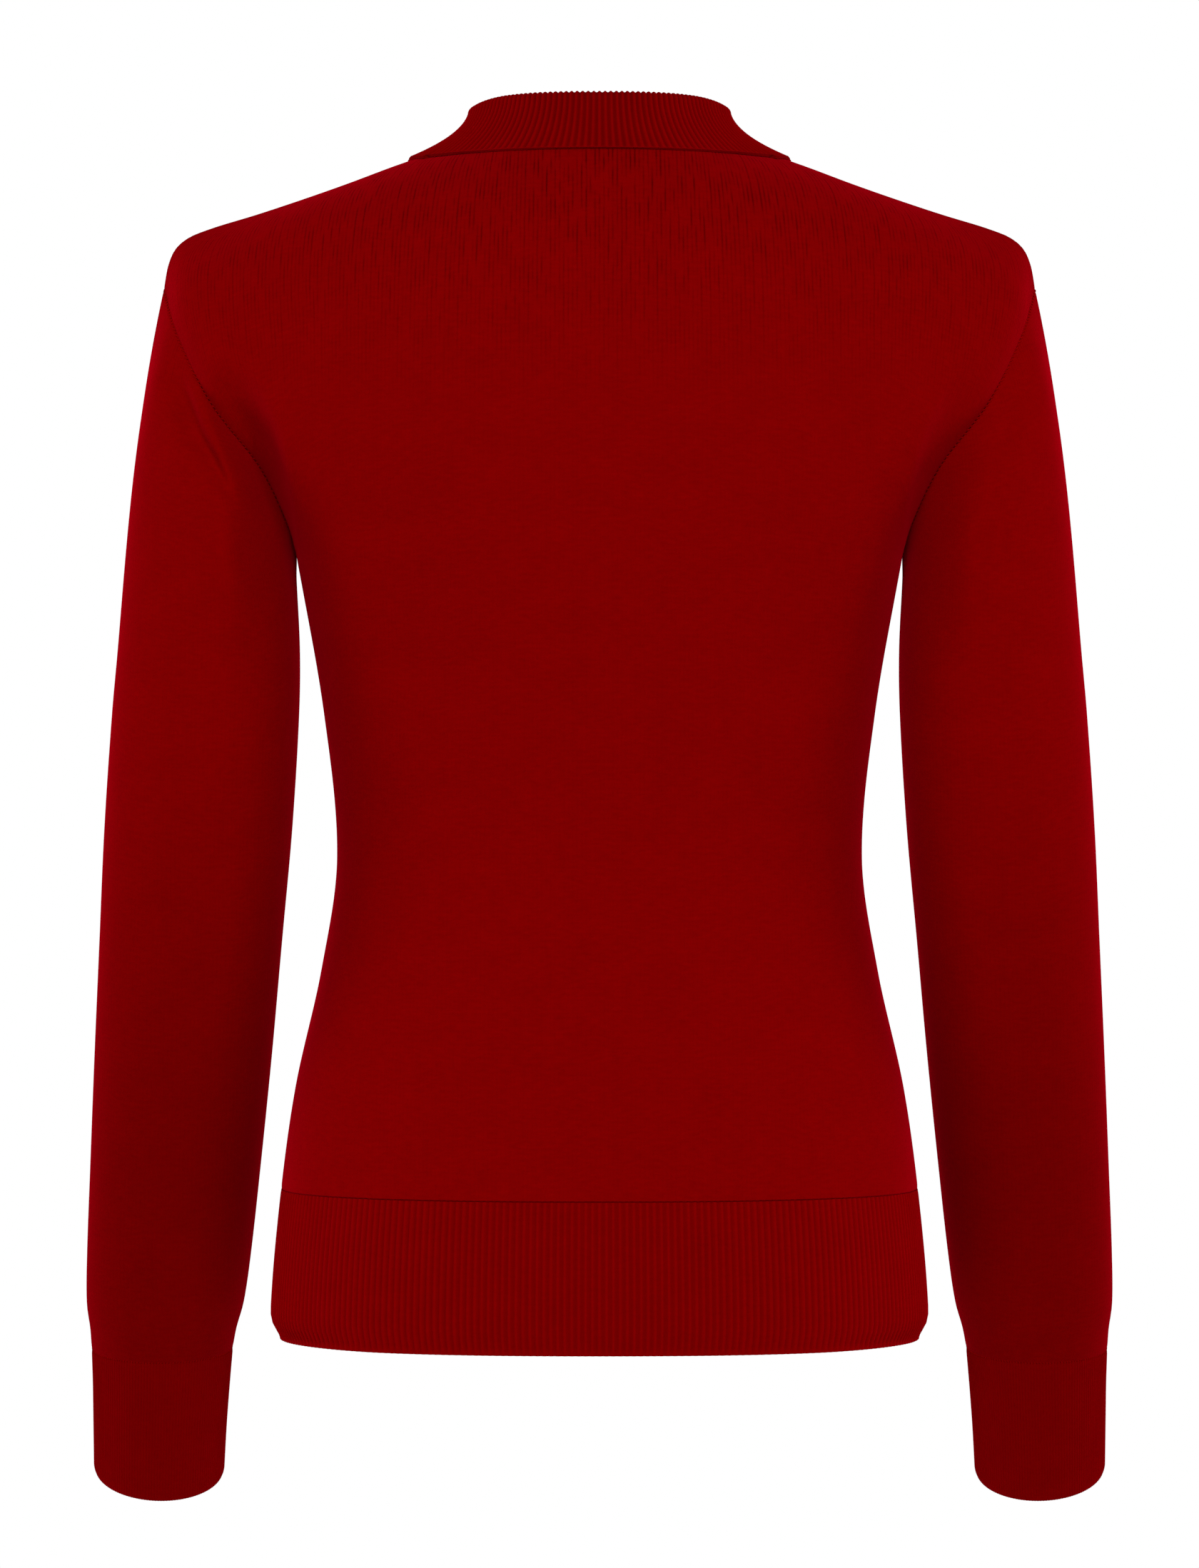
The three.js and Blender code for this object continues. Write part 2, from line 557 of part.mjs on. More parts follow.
// Buttons, evenly spaced down the middle of the upper band
const button = await buttonGeometry();
const downTheBand = moved(upperBand, 2 * SEAM_GAP).map((row) => row[1]).reverse();
const distances = [0];
downTheBand.slice(1).forEach((p, i) => distances.push(distances[i] + p.distanceTo(downTheBand[i])));
function pointAt(distance) {
  const next = distances.findIndex((d) => d >= distance);
  const share = (distance - distances[next - 1]) / (distances[next] - distances[next - 1]);
  return downTheBand[next - 1].clone().lerp(downTheBand[next], share);
}
const [firstAt, lastAt] = END_BUTTONS.map((cell) => (distances[cell] + distances[cell + 1]) / 2);
for (let i = 0; i < BUTTONS; i++) {
  const distance = lerp(firstAt, lastAt, i / (BUTTONS - 1));
  const [above, below] = [pointAt(distance - BUTTON.radius), pointAt(distance + BUTTON.radius)];
  const made = mesh(`button_${i + 1}`, button.clone(), plastic());
  made.position.copy(pointAt(distance));
  const facing = V(1, 0, 0).cross(above.sub(below)).normalize();
  made.quaternion.setFromUnitVectors(V(0, 0, 1), facing);
  shirt.add(made);
}

export default shirt;
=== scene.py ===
# %% [markdown]
# # A knitted polo shirt, seen from behind
# The real object is a long-sleeved polo shirt in a fine dark red knit. It hangs as if somebody wore it,
# with nobody in it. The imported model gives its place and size. Here each of its pieces is made again
# as a thin shell of cloth with its ribs, seams and creases, and then gets its knit and its colour.

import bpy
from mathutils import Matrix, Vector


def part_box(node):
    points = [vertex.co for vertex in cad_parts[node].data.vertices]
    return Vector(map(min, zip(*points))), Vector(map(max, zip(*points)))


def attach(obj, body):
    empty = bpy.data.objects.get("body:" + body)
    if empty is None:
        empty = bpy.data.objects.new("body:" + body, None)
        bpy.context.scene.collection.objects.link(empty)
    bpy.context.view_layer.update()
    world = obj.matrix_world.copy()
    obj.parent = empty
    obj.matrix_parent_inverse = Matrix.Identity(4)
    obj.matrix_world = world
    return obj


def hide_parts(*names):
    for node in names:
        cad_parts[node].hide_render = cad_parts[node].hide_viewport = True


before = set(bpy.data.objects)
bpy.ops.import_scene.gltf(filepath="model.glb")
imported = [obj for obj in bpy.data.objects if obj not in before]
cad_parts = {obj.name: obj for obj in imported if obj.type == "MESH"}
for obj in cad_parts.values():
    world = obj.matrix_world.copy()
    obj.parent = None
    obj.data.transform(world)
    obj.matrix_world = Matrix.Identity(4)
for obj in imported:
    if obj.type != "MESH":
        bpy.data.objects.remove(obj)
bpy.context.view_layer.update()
print("pieces in the frame:", sorted(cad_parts))

# %% Tools
import math

import bpy
import numpy as np
from mathutils import Matrix, Vector
from mathutils.bvhtree import BVHTree

MM = 0.001

# %% [markdown]
# ## Camera
# The photograph was taken straight from behind, from about as far away as one stands to photograph a
# whole garment. A long lens keeps the sleeves from looking larger than the body. The camera looks along
# a level line that passes through the middle of the shirt.

# %% Camera
CAMERA_AWAY = 3.2
EYE_LEVEL = -0.310
FRAME_HEIGHT = 0.7576
SENSOR = 24

bpy.ops.object.camera_add(location=(0, CAMERA_AWAY, EYE_LEVEL), rotation=(math.pi / 2, 0, math.pi))
camera = bpy.context.object
camera.name = "camera"
camera.data.sensor_fit = "VERTICAL"
camera.data.sensor_height = SENSOR
camera.data.lens = SENSOR * CAMERA_AWAY / FRAME_HEIGHT
bpy.context.scene.camera = camera
print("lens", round(camera.data.lens, 1), "mm")

# %% [markdown]
# ## Reading sizes from short tables
# A garment is drawn from a few sections. Between two rows of a table the sizes change smoothly, so the
# cloth between them is smooth too. These helpers read a table anywhere, and walk along a curve by its
# length, as a tape measure does.


# %% Smooth tables and lines
def smooth_table(names, rows):
    """A function that reads the named columns, on smooth curves, at any values of the first one."""
    names = names.split()
    data = np.array(sorted(rows), float)
    knots = data[:, 0]
    inner = (data[2:] - data[:-2]) / (knots[2:] - knots[:-2])[:, None]
    first = (data[1] - data[0]) / (knots[1] - knots[0])
    last = (data[-1] - data[-2]) / (knots[-1] - knots[-2])
    slopes = np.vstack([first, inner, last])

    def read(place):
        place = np.asarray(place, float)
        i = np.clip(np.searchsorted(knots, place), 1, len(knots) - 1)
        run = (knots[i] - knots[i - 1])[..., None]
        t = (place - knots[i - 1])[..., None] / run
        start, end = slopes[i - 1] * run, slopes[i] * run
        rise = data[i] - data[i - 1]
        value = data[i - 1] + t * start + t**2 * (3 * rise - 2 * start - end)
        value = value + t**3 * (start + end - 2 * rise)
        return {name: value[..., k] for k, name in enumerate(names)}

    return read


def at_shares(points, shares):
    """Points of a polyline at the given shares of its length."""
    along = np.concatenate([[0], np.cumsum(np.linalg.norm(np.diff(points, axis=0), axis=1))])
    return np.stack([np.interp(np.asarray(shares) * along[-1], along, points[:, k]) for k in range(3)], -1)


def smooth_line(points, steps=40):
    """A smooth curve through a few points, as a fine polyline."""
    points = np.array(points, float)
    ends = 2 * points[[0, -1]] - points[[1, -2]]
    p = np.vstack([ends[:1], points, ends[1:]])
    gap = np.linalg.norm(np.diff(p, axis=0), axis=1) ** 0.5
    made = [points[:1]]
    t = np.linspace(0, 1, steps + 1)[1:, None]
    for i in range(1, len(p) - 2):
        before, here, after = gap[i - 1], gap[i], gap[i + 1]
        rise = p[i + 1] - p[i]
        leave = (p[i] - p[i - 1]) / before - (p[i + 1] - p[i - 1]) / (before + here) + rise / here
        arrive = rise / here - (p[i + 2] - p[i]) / (here + after) + (p[i + 2] - p[i + 1]) / after
        leave, arrive = leave * here, arrive * here
        curve = p[i] + t * leave + t**2 * (3 * rise - 2 * leave - arrive)
        made.append(curve + t**3 * (leave + arrive - 2 * rise))
    return np.vstack(made)


def lerp(a, b, t):
    """The value a share t of the way from a to b."""
    return a + (b - a) * t


def smoothstep(x, low, high):
    """0 below low, 1 above high, and a soft rise between them."""
    t = np.clip((np.asarray(x, float) - low) / (high - low), 0, 1)
    return t * t * (3 - 2 * t)


def lengths(grid, axis):
    """How far each point is along its row or column of a grid, in millimetres."""
    step = np.linalg.norm(np.diff(grid, axis=axis), axis=-1)
    pad = [(0, 0), (0, 0)]
    pad[axis] = (1, 0)
    return np.pad(np.cumsum(step, axis=axis), pad)


def bezier(a, b, c, d, t):
    """Points of cubic curves, one for each row of the four point arrays, at each value of t."""
    t = np.asarray(t)[:, None, None]
    return a * (1 - t) ** 3 + 3 * b * t * (1 - t) ** 2 + 3 * c * t**2 * (1 - t) + d * t**3


def fine_ends(count, low=True, high=True, first=0.004):
    """Even steps from 0 to 1 with a few closer ones at the ends, where a seam pulls the cloth in."""
    steps = np.linspace(0, 1, count + 1)
    close = first * np.array([1, 2.2, 4])
    close = close[close < 0.8 / count]
    parts = [steps, close if low else [], 1 - close if high else []]
    return np.unique(np.round(np.concatenate(parts), 6))


# %% [markdown]
# ## The shirt's sizes
# All of these are in millimetres from the base of the neck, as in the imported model. The torso is a stack
# of rounded sections, wide at the chest and the hem and narrow at the waist.

# %% Sizes of the torso
UNDERARM = -199
BAND_TOP = -505
HEM = -577
torso_at = smooth_table(
    "z half back front side square",
    [
        (HEM, 157, 113, -105, 2, 2.4),
        (-562, 158.5, 115, -107, 2, 2.4),
        (BAND_TOP, 153.5, 115, -108, 2, 2.35),
        (-455, 146.5, 107, -105, 0, 2.3),
        (-400, 134.5, 92, -98, -4, 2.2),
        (-345, 127, 80, -93, -7, 2.2),
        (-276, 133.3, 86, -106, -8, 2.3),
        (UNDERARM, 146.5, 98, -119, -7, 2.75),
    ],
)
NECK_HALF = 62
NECK_BACK = 54
NECK_FRONT = 72
NECK_BACK_HEIGHT = 3
NECK_DROP = 64
SHOULDER = smooth_line(
    [
        (NECK_HALF, 0, 0),
        (79, -0.6, -4.6),
        (96, -1, -10.3),
        (124, -1.5, -20.6),
        (145, -2, -27.9),
        (166, -2.5, -34.8),
        (188, -3, -41.5),
        (199, -3.3, -46),
        (205, -3.4, -51.2),
        (208.4, -3.7, -58.5),
        (210.8, -4, -71),
    ]
)
ARMHOLE_UNDER = (146.5, -7, UNDERARM)
ARMHOLE_TOP = (210.8, -4, -71)
ARMHOLE = {
    "back": smooth_line(
        [ARMHOLE_UNDER, (151, 24, -183), (163, 44, -158), (185, 43, -129), (202, 27, -96), ARMHOLE_TOP]
    ),
    "front": smooth_line(
        [ARMHOLE_UNDER, (149, -34, -184), (157, -52, -159), (178, -49, -127), (200, -32, -94), ARMHOLE_TOP]
    ),
}


def neck_point(turn):
    """Points of the neckline: turn is 0 in the middle of the back, 90 at the shoulder, 180 in front."""
    across, back = np.sin(np.radians(turn)), np.cos(np.radians(turn))
    depth = np.where(back > 0, NECK_BACK, NECK_FRONT)
    height = np.where(back > 0, NECK_BACK_HEIGHT * back, -NECK_DROP * np.abs(np.minimum(back, 0)) ** 1.3)
    return np.stack([NECK_HALF * across, depth * back, height], -1)


def half_section(z, facing, shares):
    """Half of one torso section, from its middle to the side seam on the wearer's left."""
    size = torso_at(z)
    depth = size[facing] - size["side"]
    angle = np.linspace(0, math.pi / 2, 121)
    power = 2 / size["square"]
    x = size["half"] * np.sin(angle) ** power
    y = size["side"] + depth * np.maximum(np.cos(angle), 0) ** power
    return at_shares(np.stack([x, y, np.full_like(x, z)], -1), shares)


# %% [markdown]
# ## The back and front as surfaces
# Below the arms a panel follows the torso's sections. Above them, each vertical line of the cloth is one
# smooth curve from the chest to the neckline or the shoulder seam. Next to the armhole the curves are
# drawn over to it, so that the panel ends exactly on the seam.

# %% Surface of a body panel
NECK_SHARE = {"back": 0.4, "front": 0.46}
shoulder_along = {
    "back": smooth_table(
        "share along", [(0.4, 0), (0.5, 0.22), (0.6, 0.44), (0.7, 0.64), (0.8, 0.79), (0.9, 0.91), (1, 1)]
    ),
    "front": smooth_table(
        "share along",
        [(0.46, 0), (0.55, 0.22), (0.65, 0.44), (0.74, 0.64), (0.83, 0.79), (0.92, 0.91), (1, 1)],
    ),
}
neck_turn = {
    "back": smooth_table("share turn", [(0, 0), (0.1, 23), (0.2, 45), (0.3, 68), (0.4, 90)]),
    "front": smooth_table(
        "share turn",
        [(0, 180), (0.06, 166.67), (0.13, 150), (0.21, 134), (0.29, 119), (0.37, 104), (0.46, 90)],
    ),
}
CHEST_RUN_ON = {"back": 0.7, "front": 0.3}  # how much of the chest's slope goes on above the underarm
MIDDLE_LINE = {"back": (0.85, 0.23), "front": (0.5, 0.35)}  # its handle at the neck: how far out, how far down


def top_edge(facing, shares):
    """Half of a panel's upper edge, along the neckline and then the shoulder seam."""
    on_neck = shares <= NECK_SHARE[facing] + 1e-9
    neck = neck_point(neck_turn[facing](shares[on_neck])["turn"])
    shoulder = at_shares(SHOULDER, shoulder_along[facing](shares[~on_neck])["along"])
    return np.vstack([neck, shoulder])


def half_panel(facing, shares, low_steps, high_steps):
    """The wearer's left half of a panel: rows from the hem band's top up, columns from its middle out."""
    low = np.stack([half_section(lerp(BAND_TOP, UNDERARM, s), facing, shares) for s in low_steps])
    chest, below = low[-1], half_section(UNDERARM - 2, facing, shares)
    top = top_edge(facing, shares)
    rise = (top[:, 2] - chest[:, 2])[:, None]
    depth = chest[:, 1] - top[:, 1]
    slope = (chest - below) / 2 * CHEST_RUN_ON[facing] * [0, 1, 0] + [0, 0, 1]
    reach_middle, drop_middle = MIDDLE_LINE[facing]
    beside = smoothstep(shares, NECK_SHARE[facing] - 0.1, NECK_SHARE[facing])
    beside = beside * (1 - smoothstep(shares, NECK_SHARE[facing], NECK_SHARE[facing] + 0.14))
    reach = lerp(reach_middle, 0.85, smoothstep(top[:, 0], 0, NECK_HALF)) - 0.25 * smoothstep(shares, 0.6, 1)
    if facing == "back":
        reach = reach + 0.17 * beside
    drop = drop_middle * (1 - smoothstep(top[:, 0], 0, 1.8 * NECK_HALF))
    leave = chest + slope * rise * 0.6
    arrive = top + np.stack([0 * depth, depth * reach, -rise[:, 0] * drop], -1)
    high = bezier(chest, leave, arrive, top, high_steps)
    armhole = at_shares(ARMHOLE[facing], high_steps)
    pull = armhole - high[:, -1]
    high = high + pull[:, None] * smoothstep(shares, 0.4, 1)[None, :, None]
    return np.vstack([low, high[1:]])


def eased(grid, rounds=60, below=30):
    """The grid smoothed along its rows in the part below its top edge. Its edges and its lower part stay."""
    under_top = lengths(grid, 0)[-1:] - lengths(grid, 0)
    share = (smoothstep(under_top, 0, below) * (1 - smoothstep(under_top, 80, 170)))[..., None]
    columns = np.arange(grid.shape[1])
    inside = smoothstep(np.minimum(columns, columns[::-1]), 6, 22)[None, :, None]
    soft = grid.copy()
    for _ in range(rounds):
        soft[:, 1:-1] = (soft[:, :-2] + 2 * soft[:, 1:-1] + soft[:, 2:]) / 4
    return grid + (soft - grid) * share * inside


def whole(half, facing):
    """A whole panel from its left half, its columns running to the right as seen from outside."""
    other = half[:, 1:] * [-1, 1, 1]
    if facing == "back":
        return np.concatenate([half[:, ::-1], other], 1)
    return np.concatenate([other[:, ::-1], half], 1)


# %% [markdown]
# ## From a surface to a piece of cloth
# A piece of cloth starts as a flat grid, as cloth itself does. Its points are then moved, row by row and
# column by column, to the surface. The grid keeps a map of the cloth in metres, so that the knit later
# has its real size everywhere. A Solidify modifier gives the cloth its thickness.


# %% Cloth from a grid
def grid_normals(grid, closed=False):
    """The directions straight out of a grid, for each of its points."""
    across = np.gradient(grid, axis=1)
    if closed:  # the first and last columns are the same line
        across[:, 0] = across[:, -1] = grid[:, 1] - grid[:, -2]
    up = np.gradient(grid, axis=0)
    normal = np.cross(across, up)
    return normal / np.maximum(np.linalg.norm(normal, axis=-1, keepdims=True), 1e-9)


def deselect():
    for o in bpy.context.selected_objects:
        o.select_set(False)


def grid_piece(name, grid):
    """A flat mesh grid, its points moved to the places of a grid of points, and each one's row and column."""
    rows, columns = grid.shape[:2]
    deselect()
    bpy.ops.mesh.primitive_grid_add(x_subdivisions=columns - 1, y_subdivisions=rows - 1, size=1)
    piece = bpy.context.object
    piece.name = piece.data.name = name
    flat = np.zeros(len(piece.data.vertices) * 3)
    piece.data.vertices.foreach_get("co", flat)
    flat = flat.reshape(-1, 3)
    column = np.rint((flat[:, 0] + 0.5) * (columns - 1)).astype(int)
    row = np.rint((flat[:, 1] + 0.5) * (rows - 1)).astype(int)
    piece.data.vertices.foreach_set("co", (grid[row, column] * MM).ravel())
    return piece, row, column


def map_cloth(piece, grid, row, column, middle):
    """Writes the cloth map, in metres. The knit's columns are straight along the middle column."""
    across = lengths(grid, 1)
    across = across - across[:, middle][:, None]
    along = lengths(grid, 0)
    corners = np.zeros(len(piece.data.loops), int)
    piece.data.loops.foreach_get("vertex_index", corners)
    cloth_map = np.stack([across[row, column][corners], along[row, column][corners]], -1) * MM
    piece.data.uv_layers.active.name = "cloth"
    piece.data.uv_layers.active.data.foreach_set("uv", cloth_map.ravel())


def cut_out(piece, row, column, leave_out):
    """Deletes the faces that leave_out picks by their lowest row and column."""
    bpy.ops.object.mode_set(mode="EDIT")
    bpy.ops.mesh.select_all(action="DESELECT")
    bpy.ops.object.mode_set(mode="OBJECT")
    for face in piece.data.polygons:
        corner = [int(v) for v in face.vertices]
        face.select = bool(leave_out(row[corner].min(), column[corner].min()))
    bpy.ops.object.mode_set(mode="EDIT")
    bpy.ops.mesh.delete(type="FACE")
    bpy.ops.object.mode_set(mode="OBJECT")


def close_tube():
    """Joins the first and last columns of the active piece."""
    bpy.ops.object.mode_set(mode="EDIT")
    bpy.ops.mesh.select_all(action="SELECT")
    bpy.ops.mesh.remove_doubles(threshold=0.00001)
    bpy.ops.object.mode_set(mode="OBJECT")


def thicken(piece, thickness):
    """Gives the cloth its inner side, which lies where the attribute inwards says."""
    solidify = piece.modifiers.new("thickness", "SOLIDIFY")
    solidify.thickness = thickness * MM
    solidify.offset = -1
    bpy.ops.object.modifier_apply(modifier=solidify.name)
    count = len(piece.data.vertices)
    places, inwards = np.zeros(count * 3), np.zeros(count * 3)
    piece.data.vertices.foreach_get("co", places)
    piece.data.attributes["inwards"].data.foreach_get("vector", inwards)
    places, inwards = places.reshape(2, -1), inwards.reshape(2, -1)
    places[1] = places[0] + inwards[0]  # the first half of the points is the outer side
    piece.data.vertices.foreach_set("co", places.ravel())
    piece.data.attributes.remove(piece.data.attributes["inwards"])


def cloth(name, grid, thickness, middle, closed=False, leave_out=None, smooth=None):
    """A piece of cloth on a grid of points. Its inner side lies straight under the outer one, along the
    normals of the smooth grid under its ribs. The attribute rib_top is 1 on the ribs, 0 in the grooves."""
    piece, row, column = grid_piece(name, grid)
    inwards = -grid_normals(grid if smooth is None else smooth, closed)[row, column] * thickness * MM
    piece.data.attributes.new("inwards", "FLOAT_VECTOR", "POINT").data.foreach_set("vector", inwards.ravel())
    sunk = np.zeros(grid.shape[:2]) if smooth is None else np.linalg.norm(grid - smooth, axis=-1)
    rib_top = 1 - sunk / max(sunk.max(), 0.001)
    piece.data.attributes.new("rib_top", "FLOAT", "POINT").data.foreach_set("value", rib_top[row, column])
    map_cloth(piece, grid, row, column, middle)
    if leave_out is not None:
        cut_out(piece, row, column, leave_out)
    if closed:
        close_tube()
    thicken(piece, thickness)
    bpy.ops.object.shade_smooth_by_angle(angle=math.radians(50))
    triangles = sum(len(p.vertices) - 2 for p in piece.data.polygons)
    print(f"{name}: {triangles} triangles, {area_of(grid) / 1e6:.4f} square metres of cloth")
    return piece


def area_of(grid):
    """The area of a grid's outer side, in square millimetres."""
    a = np.cross(grid[1:, 1:] - grid[:-1, :-1], grid[1:, :-1] - grid[:-1, 1:])
    return float(np.linalg.norm(a, axis=-1).sum() / 2)


# %% [markdown]
# ## Seams
# Where two pieces are sewn together the thread pulls both down a little. That makes a fine groove with
# soft shoulders, so the grid sinks along the edges that are sewn.

# %% Seams
SEAM_DEPTH = 0.2
SEAM_WIDTH = 1.4


def sink_edges(grid, edges, closed=False, depth=SEAM_DEPTH):
    """Sinks the cloth along the named edges of the grid: bottom, top, left, right."""
    along, across = lengths(grid, 0), lengths(grid, 1)
    far = np.full(grid.shape[:2], 1e3)
    if "bottom" in edges:
        far = np.minimum(far, along)
    if "top" in edges:
        far = np.minimum(far, along[-1:] - along)
    if "left" in edges:
        far = np.minimum(far, across)
    if "right" in edges:
        far = np.minimum(far, across[:, -1:] - across)
    sink = depth * np.exp(-((far / SEAM_WIDTH) ** 2))
    return grid - grid_normals(grid, closed) * sink[..., None]


def tucked(grid, down=1.6, inwards=2.2):
    """The grid with its lowest row drawn in behind the top of the hem band, so that no light shows there."""
    made = grid.copy()
    made[0] = grid[1] - grid_normals(grid)[1] * inwards - np.array([0, 0, down])
    return made


# %% [markdown]
# ## Folds
# The shirt hangs smoothly, with a few soft folds that the photograph shows. Each is a trough along a line
# that is drawn as one sees it from behind. It has its own depth, and its two sides have their own
# widths: a narrow side falls away sharply and a wide one slopes gently. Every fold pushes the cloth
# straight towards the inside of the shirt, whichever piece it is on, so a fold that crosses a seam moves
# both pieces alike and the seam stays closed. The front gets a few of the same kind, because it hangs
# from the same shoulders.

# %% The folds, one by one
# Each fold: the arm it is near, the face it is on, its points (x and z from the middle, for the left
# side), its depth (a ridge's is negative), the width of its side towards the middle and of the one
# towards the arm
FOLDS = [
    # the fullness of the sleeve next to the armhole
    ("left", "back", [(206, -116), (192, -146), (181, -176), (176, -210), (176, -260)], -9, 11, 18),
    ("right", "back", [(206, -118), (194, -150), (182, -180), (176, -215), (176, -260)], -6, 12, 18),
    # the soft shade that runs on from the hollow towards the neck
    ("both", "back", [(172, -126), (158, -108), (140, -92), (118, -80)], 2.6, 14, 14),
    # the sleeve's crisp crease and the ridge beside it
    (
        "left", "back",
        [(205, -104), (200, -118), (195.2, -130), (191, -141), (186, -151.5), (178.5, -168), (172, -182)],
        8, 3, 8,
    ),
    ("left", "back", [(198, -108), (193.8, -120), (188, -134), (182, -147), (176, -160)], -3, 5, 4.5),
    ("right", "back", [(205, -118), (198, -131), (192, -148), (184, -168)], 1.3, 5, 7),
    # the hollows beside the spine
    ("left", "back", [(100, -150), (95, -195), (90, -240), (97, -290)], 7, 30, 26),
    ("right", "back", [(92, -165), (88, -205), (92, -250), (98, -285)], 6, 24, 28),
    ("left", "back", [(62, -232), (70, -280), (60, -318)], 1.6, 15, 20),
    # the folds of the waist
    ("left", "back", [(128, -312), (104, -322), (74, -318), (46, -322)], 1.5, 9, 9),
    ("right", "back", [(124, -318), (96, -330), (60, -327)], 1.2, 10, 10),
    ("both", "back", [(112, -345), (88, -352), (62, -350)], 0.8, 8, 8),
    ("left", "back", [(30, -395), (38, -430), (34, -470)], 1.4, 16, 22),
    ("right", "back", [(26, -385), (30, -425), (44, -455)], 1.2, 18, 18),
    # the sleeves' back, above and below the elbow
    ("both", "back", [(176, -300), (184, -352), (190, -400), (196, -452)], 2.2, 10, 16),
    ("left", "back", [(228, -362), (208, -374), (186, -378)], 1.5, 11, 11),
    ("right", "back", [(226, -370), (204, -386), (184, -384)], 1.4, 10, 12),
    ("left", "back", [(232, -440), (212, -462), (196, -486)], 1.3, 10, 12),
    ("right", "back", [(234, -450), (214, -468), (198, -480)], 1.2, 12, 10),
    ("both", "back", [(240, -545), (222, -560), (202, -566)], 1.0, 8, 8),
    # the front, alike
    ("left", "front", [(150, -126), (132, -150), (122, -180), (118, -215)], 2.6, 18, 18),
    ("right", "front", [(146, -132), (130, -160), (122, -196)], 2.2, 16, 20),
    ("left", "front", [(118, -300), (88, -314), (56, -322)], 1.6, 11, 11),
    ("right", "front", [(112, -308), (80, -326), (48, -330)], 1.4, 12, 12),
    ("both", "front", [(178, -352), (198, -366), (218, -360)], 2.4, 9, 9),
    ("left", "front", [(184, -388), (204, -402), (222, -398)], 1.8, 9, 9),
    ("right", "front", [(186, -394), (206, -412), (224, -404)], 1.8, 9, 9),
    ("both", "front", [(198, -470), (212, -482), (230, -480)], 1.4, 8, 8),
]
# The hollows where the back and the front dive in to meet the arm. They have a crisp rim towards the
# middle, like a bowl's: each has its arm and face, the points of its deepest line, each point's distance
# to the rim, the depth, and the width of the slope towards the arm.
HOLLOWS = [
    (
        "left", "back", [(184, -104), (174, -124), (164.5, -145), (156, -168), (150, -188), (147, -212)],
        (10, 13, 14, 10, 6, 3), 20, 10,
    ),
    (
        "right", "back", [(184, -106), (174, -126), (164, -148), (156, -170), (150, -189), (147, -212)],
        (9, 12, 12, 9, 5, 3), 11, 12,
    ),
    (
        "both", "front", [(184, -106), (174, -126), (164, -148), (156, -168), (150, -188), (147, -212)],
        (10, 13, 13, 11, 7, 4), 12, 10,
    ),
]
BODY_PLANE = -6  # folds of the back end in this plane, and those of the front too


def beside_line(points, line):
    """How far points are from a line seen from behind, at which share of it, and on which side of it."""
    best = np.full(points.shape[:-1], 1e9)
    share = np.zeros(points.shape[:-1])
    side = np.zeros(points.shape[:-1])
    flat = points[..., [0, 2]]
    for i in range(len(line) - 1):
        a, run = line[i], line[i + 1] - line[i]
        t = np.clip(((flat - a) @ run) / (run @ run), 0, 1)
        off = flat - a - t[..., None] * run
        far = np.linalg.norm(off, axis=-1)
        nearer = far < best
        share = np.where(nearer, (i + t) / (len(line) - 1), share)
        side = np.where(nearer, off[..., 0] * run[1] - off[..., 1] * run[0], side)
        best = np.minimum(best, far)
    return best, share, side > 0


def fold_push(points, line, inner, outer):
    """How much of a fold's depth each point gets."""
    far, share, on_inside = beside_line(points, line)
    width = np.where(on_inside, inner, outer)
    ends = smoothstep(share, 0, 0.35) * (1 - smoothstep(share, 0.7, 1))
    return np.exp(-((far / width) ** 2)) * ends


def hollow_push(points, line, rims, outer):
    """How much of a hollow's depth each point gets."""
    far, share, on_inside = beside_line(points, line)
    rim = np.interp(share, np.linspace(0, 1, len(rims)), rims)
    bowl = np.maximum(1 - (far / rim) ** 2, 0)
    bowl = np.where(bowl < 0.12, bowl**2 / 0.24, bowl - 0.06)  # the rim itself is rounded a little
    slope = np.exp(-((far / outer) ** 2)) * 0.94
    ends = smoothstep(share, 0, 0.42) * (1 - smoothstep(share, 0.5, 0.95))
    return np.where(on_inside, bowl, slope) * ends


def folded(grid, arm, middle_y=BODY_PLANE):
    """A grid with the folds of one side pushed into it. middle_y is where its back and front meet."""
    mirror = 1 if arm == "left" else -1
    seen = grid * [mirror, 1, 1]
    push = np.zeros(grid.shape[:2])
    shapes = [(place, face, line, depth, fold_push, widths) for place, face, line, depth, *widths in FOLDS]
    for place, face, line, rims, depth, outer in HOLLOWS:
        shapes.append((place, face, line, depth, hollow_push, (rims, outer)))
    for place, face, line, depth, push_of, widths in shapes:
        if place not in (arm, "both"):
            continue
        line = smooth_line([(x, 0, z) for x, z in line], 5)[:, [0, 2]]
        inward = -1 if face == "back" else 1
        on_face = smoothstep(-inward * (seen[..., 1] - middle_y), 0, 16)
        on_side = smoothstep(seen[..., 0], 0, 12)
        push += inward * depth * push_of(seen, line, *widths) * on_face * on_side
    return grid + push[..., None] * [0, 1, 0]


def folded_both(grid):
    return folded(folded(grid, "left"), "right")


# %% [markdown]
# ## Back panel
# The back is one knitted piece. It is plain, and it falls from the shoulder blades to the waist and out
# again over the hips.

# %% Back panel
KNIT = 1.3  # thickness in millimetres


def panel_shares(facing):
    neck = NECK_SHARE[facing]
    inner = np.linspace(0, neck, 27)
    outer = neck + (1 - neck) * fine_ends(36, low=False)
    return np.concatenate([inner, outer[1:]])


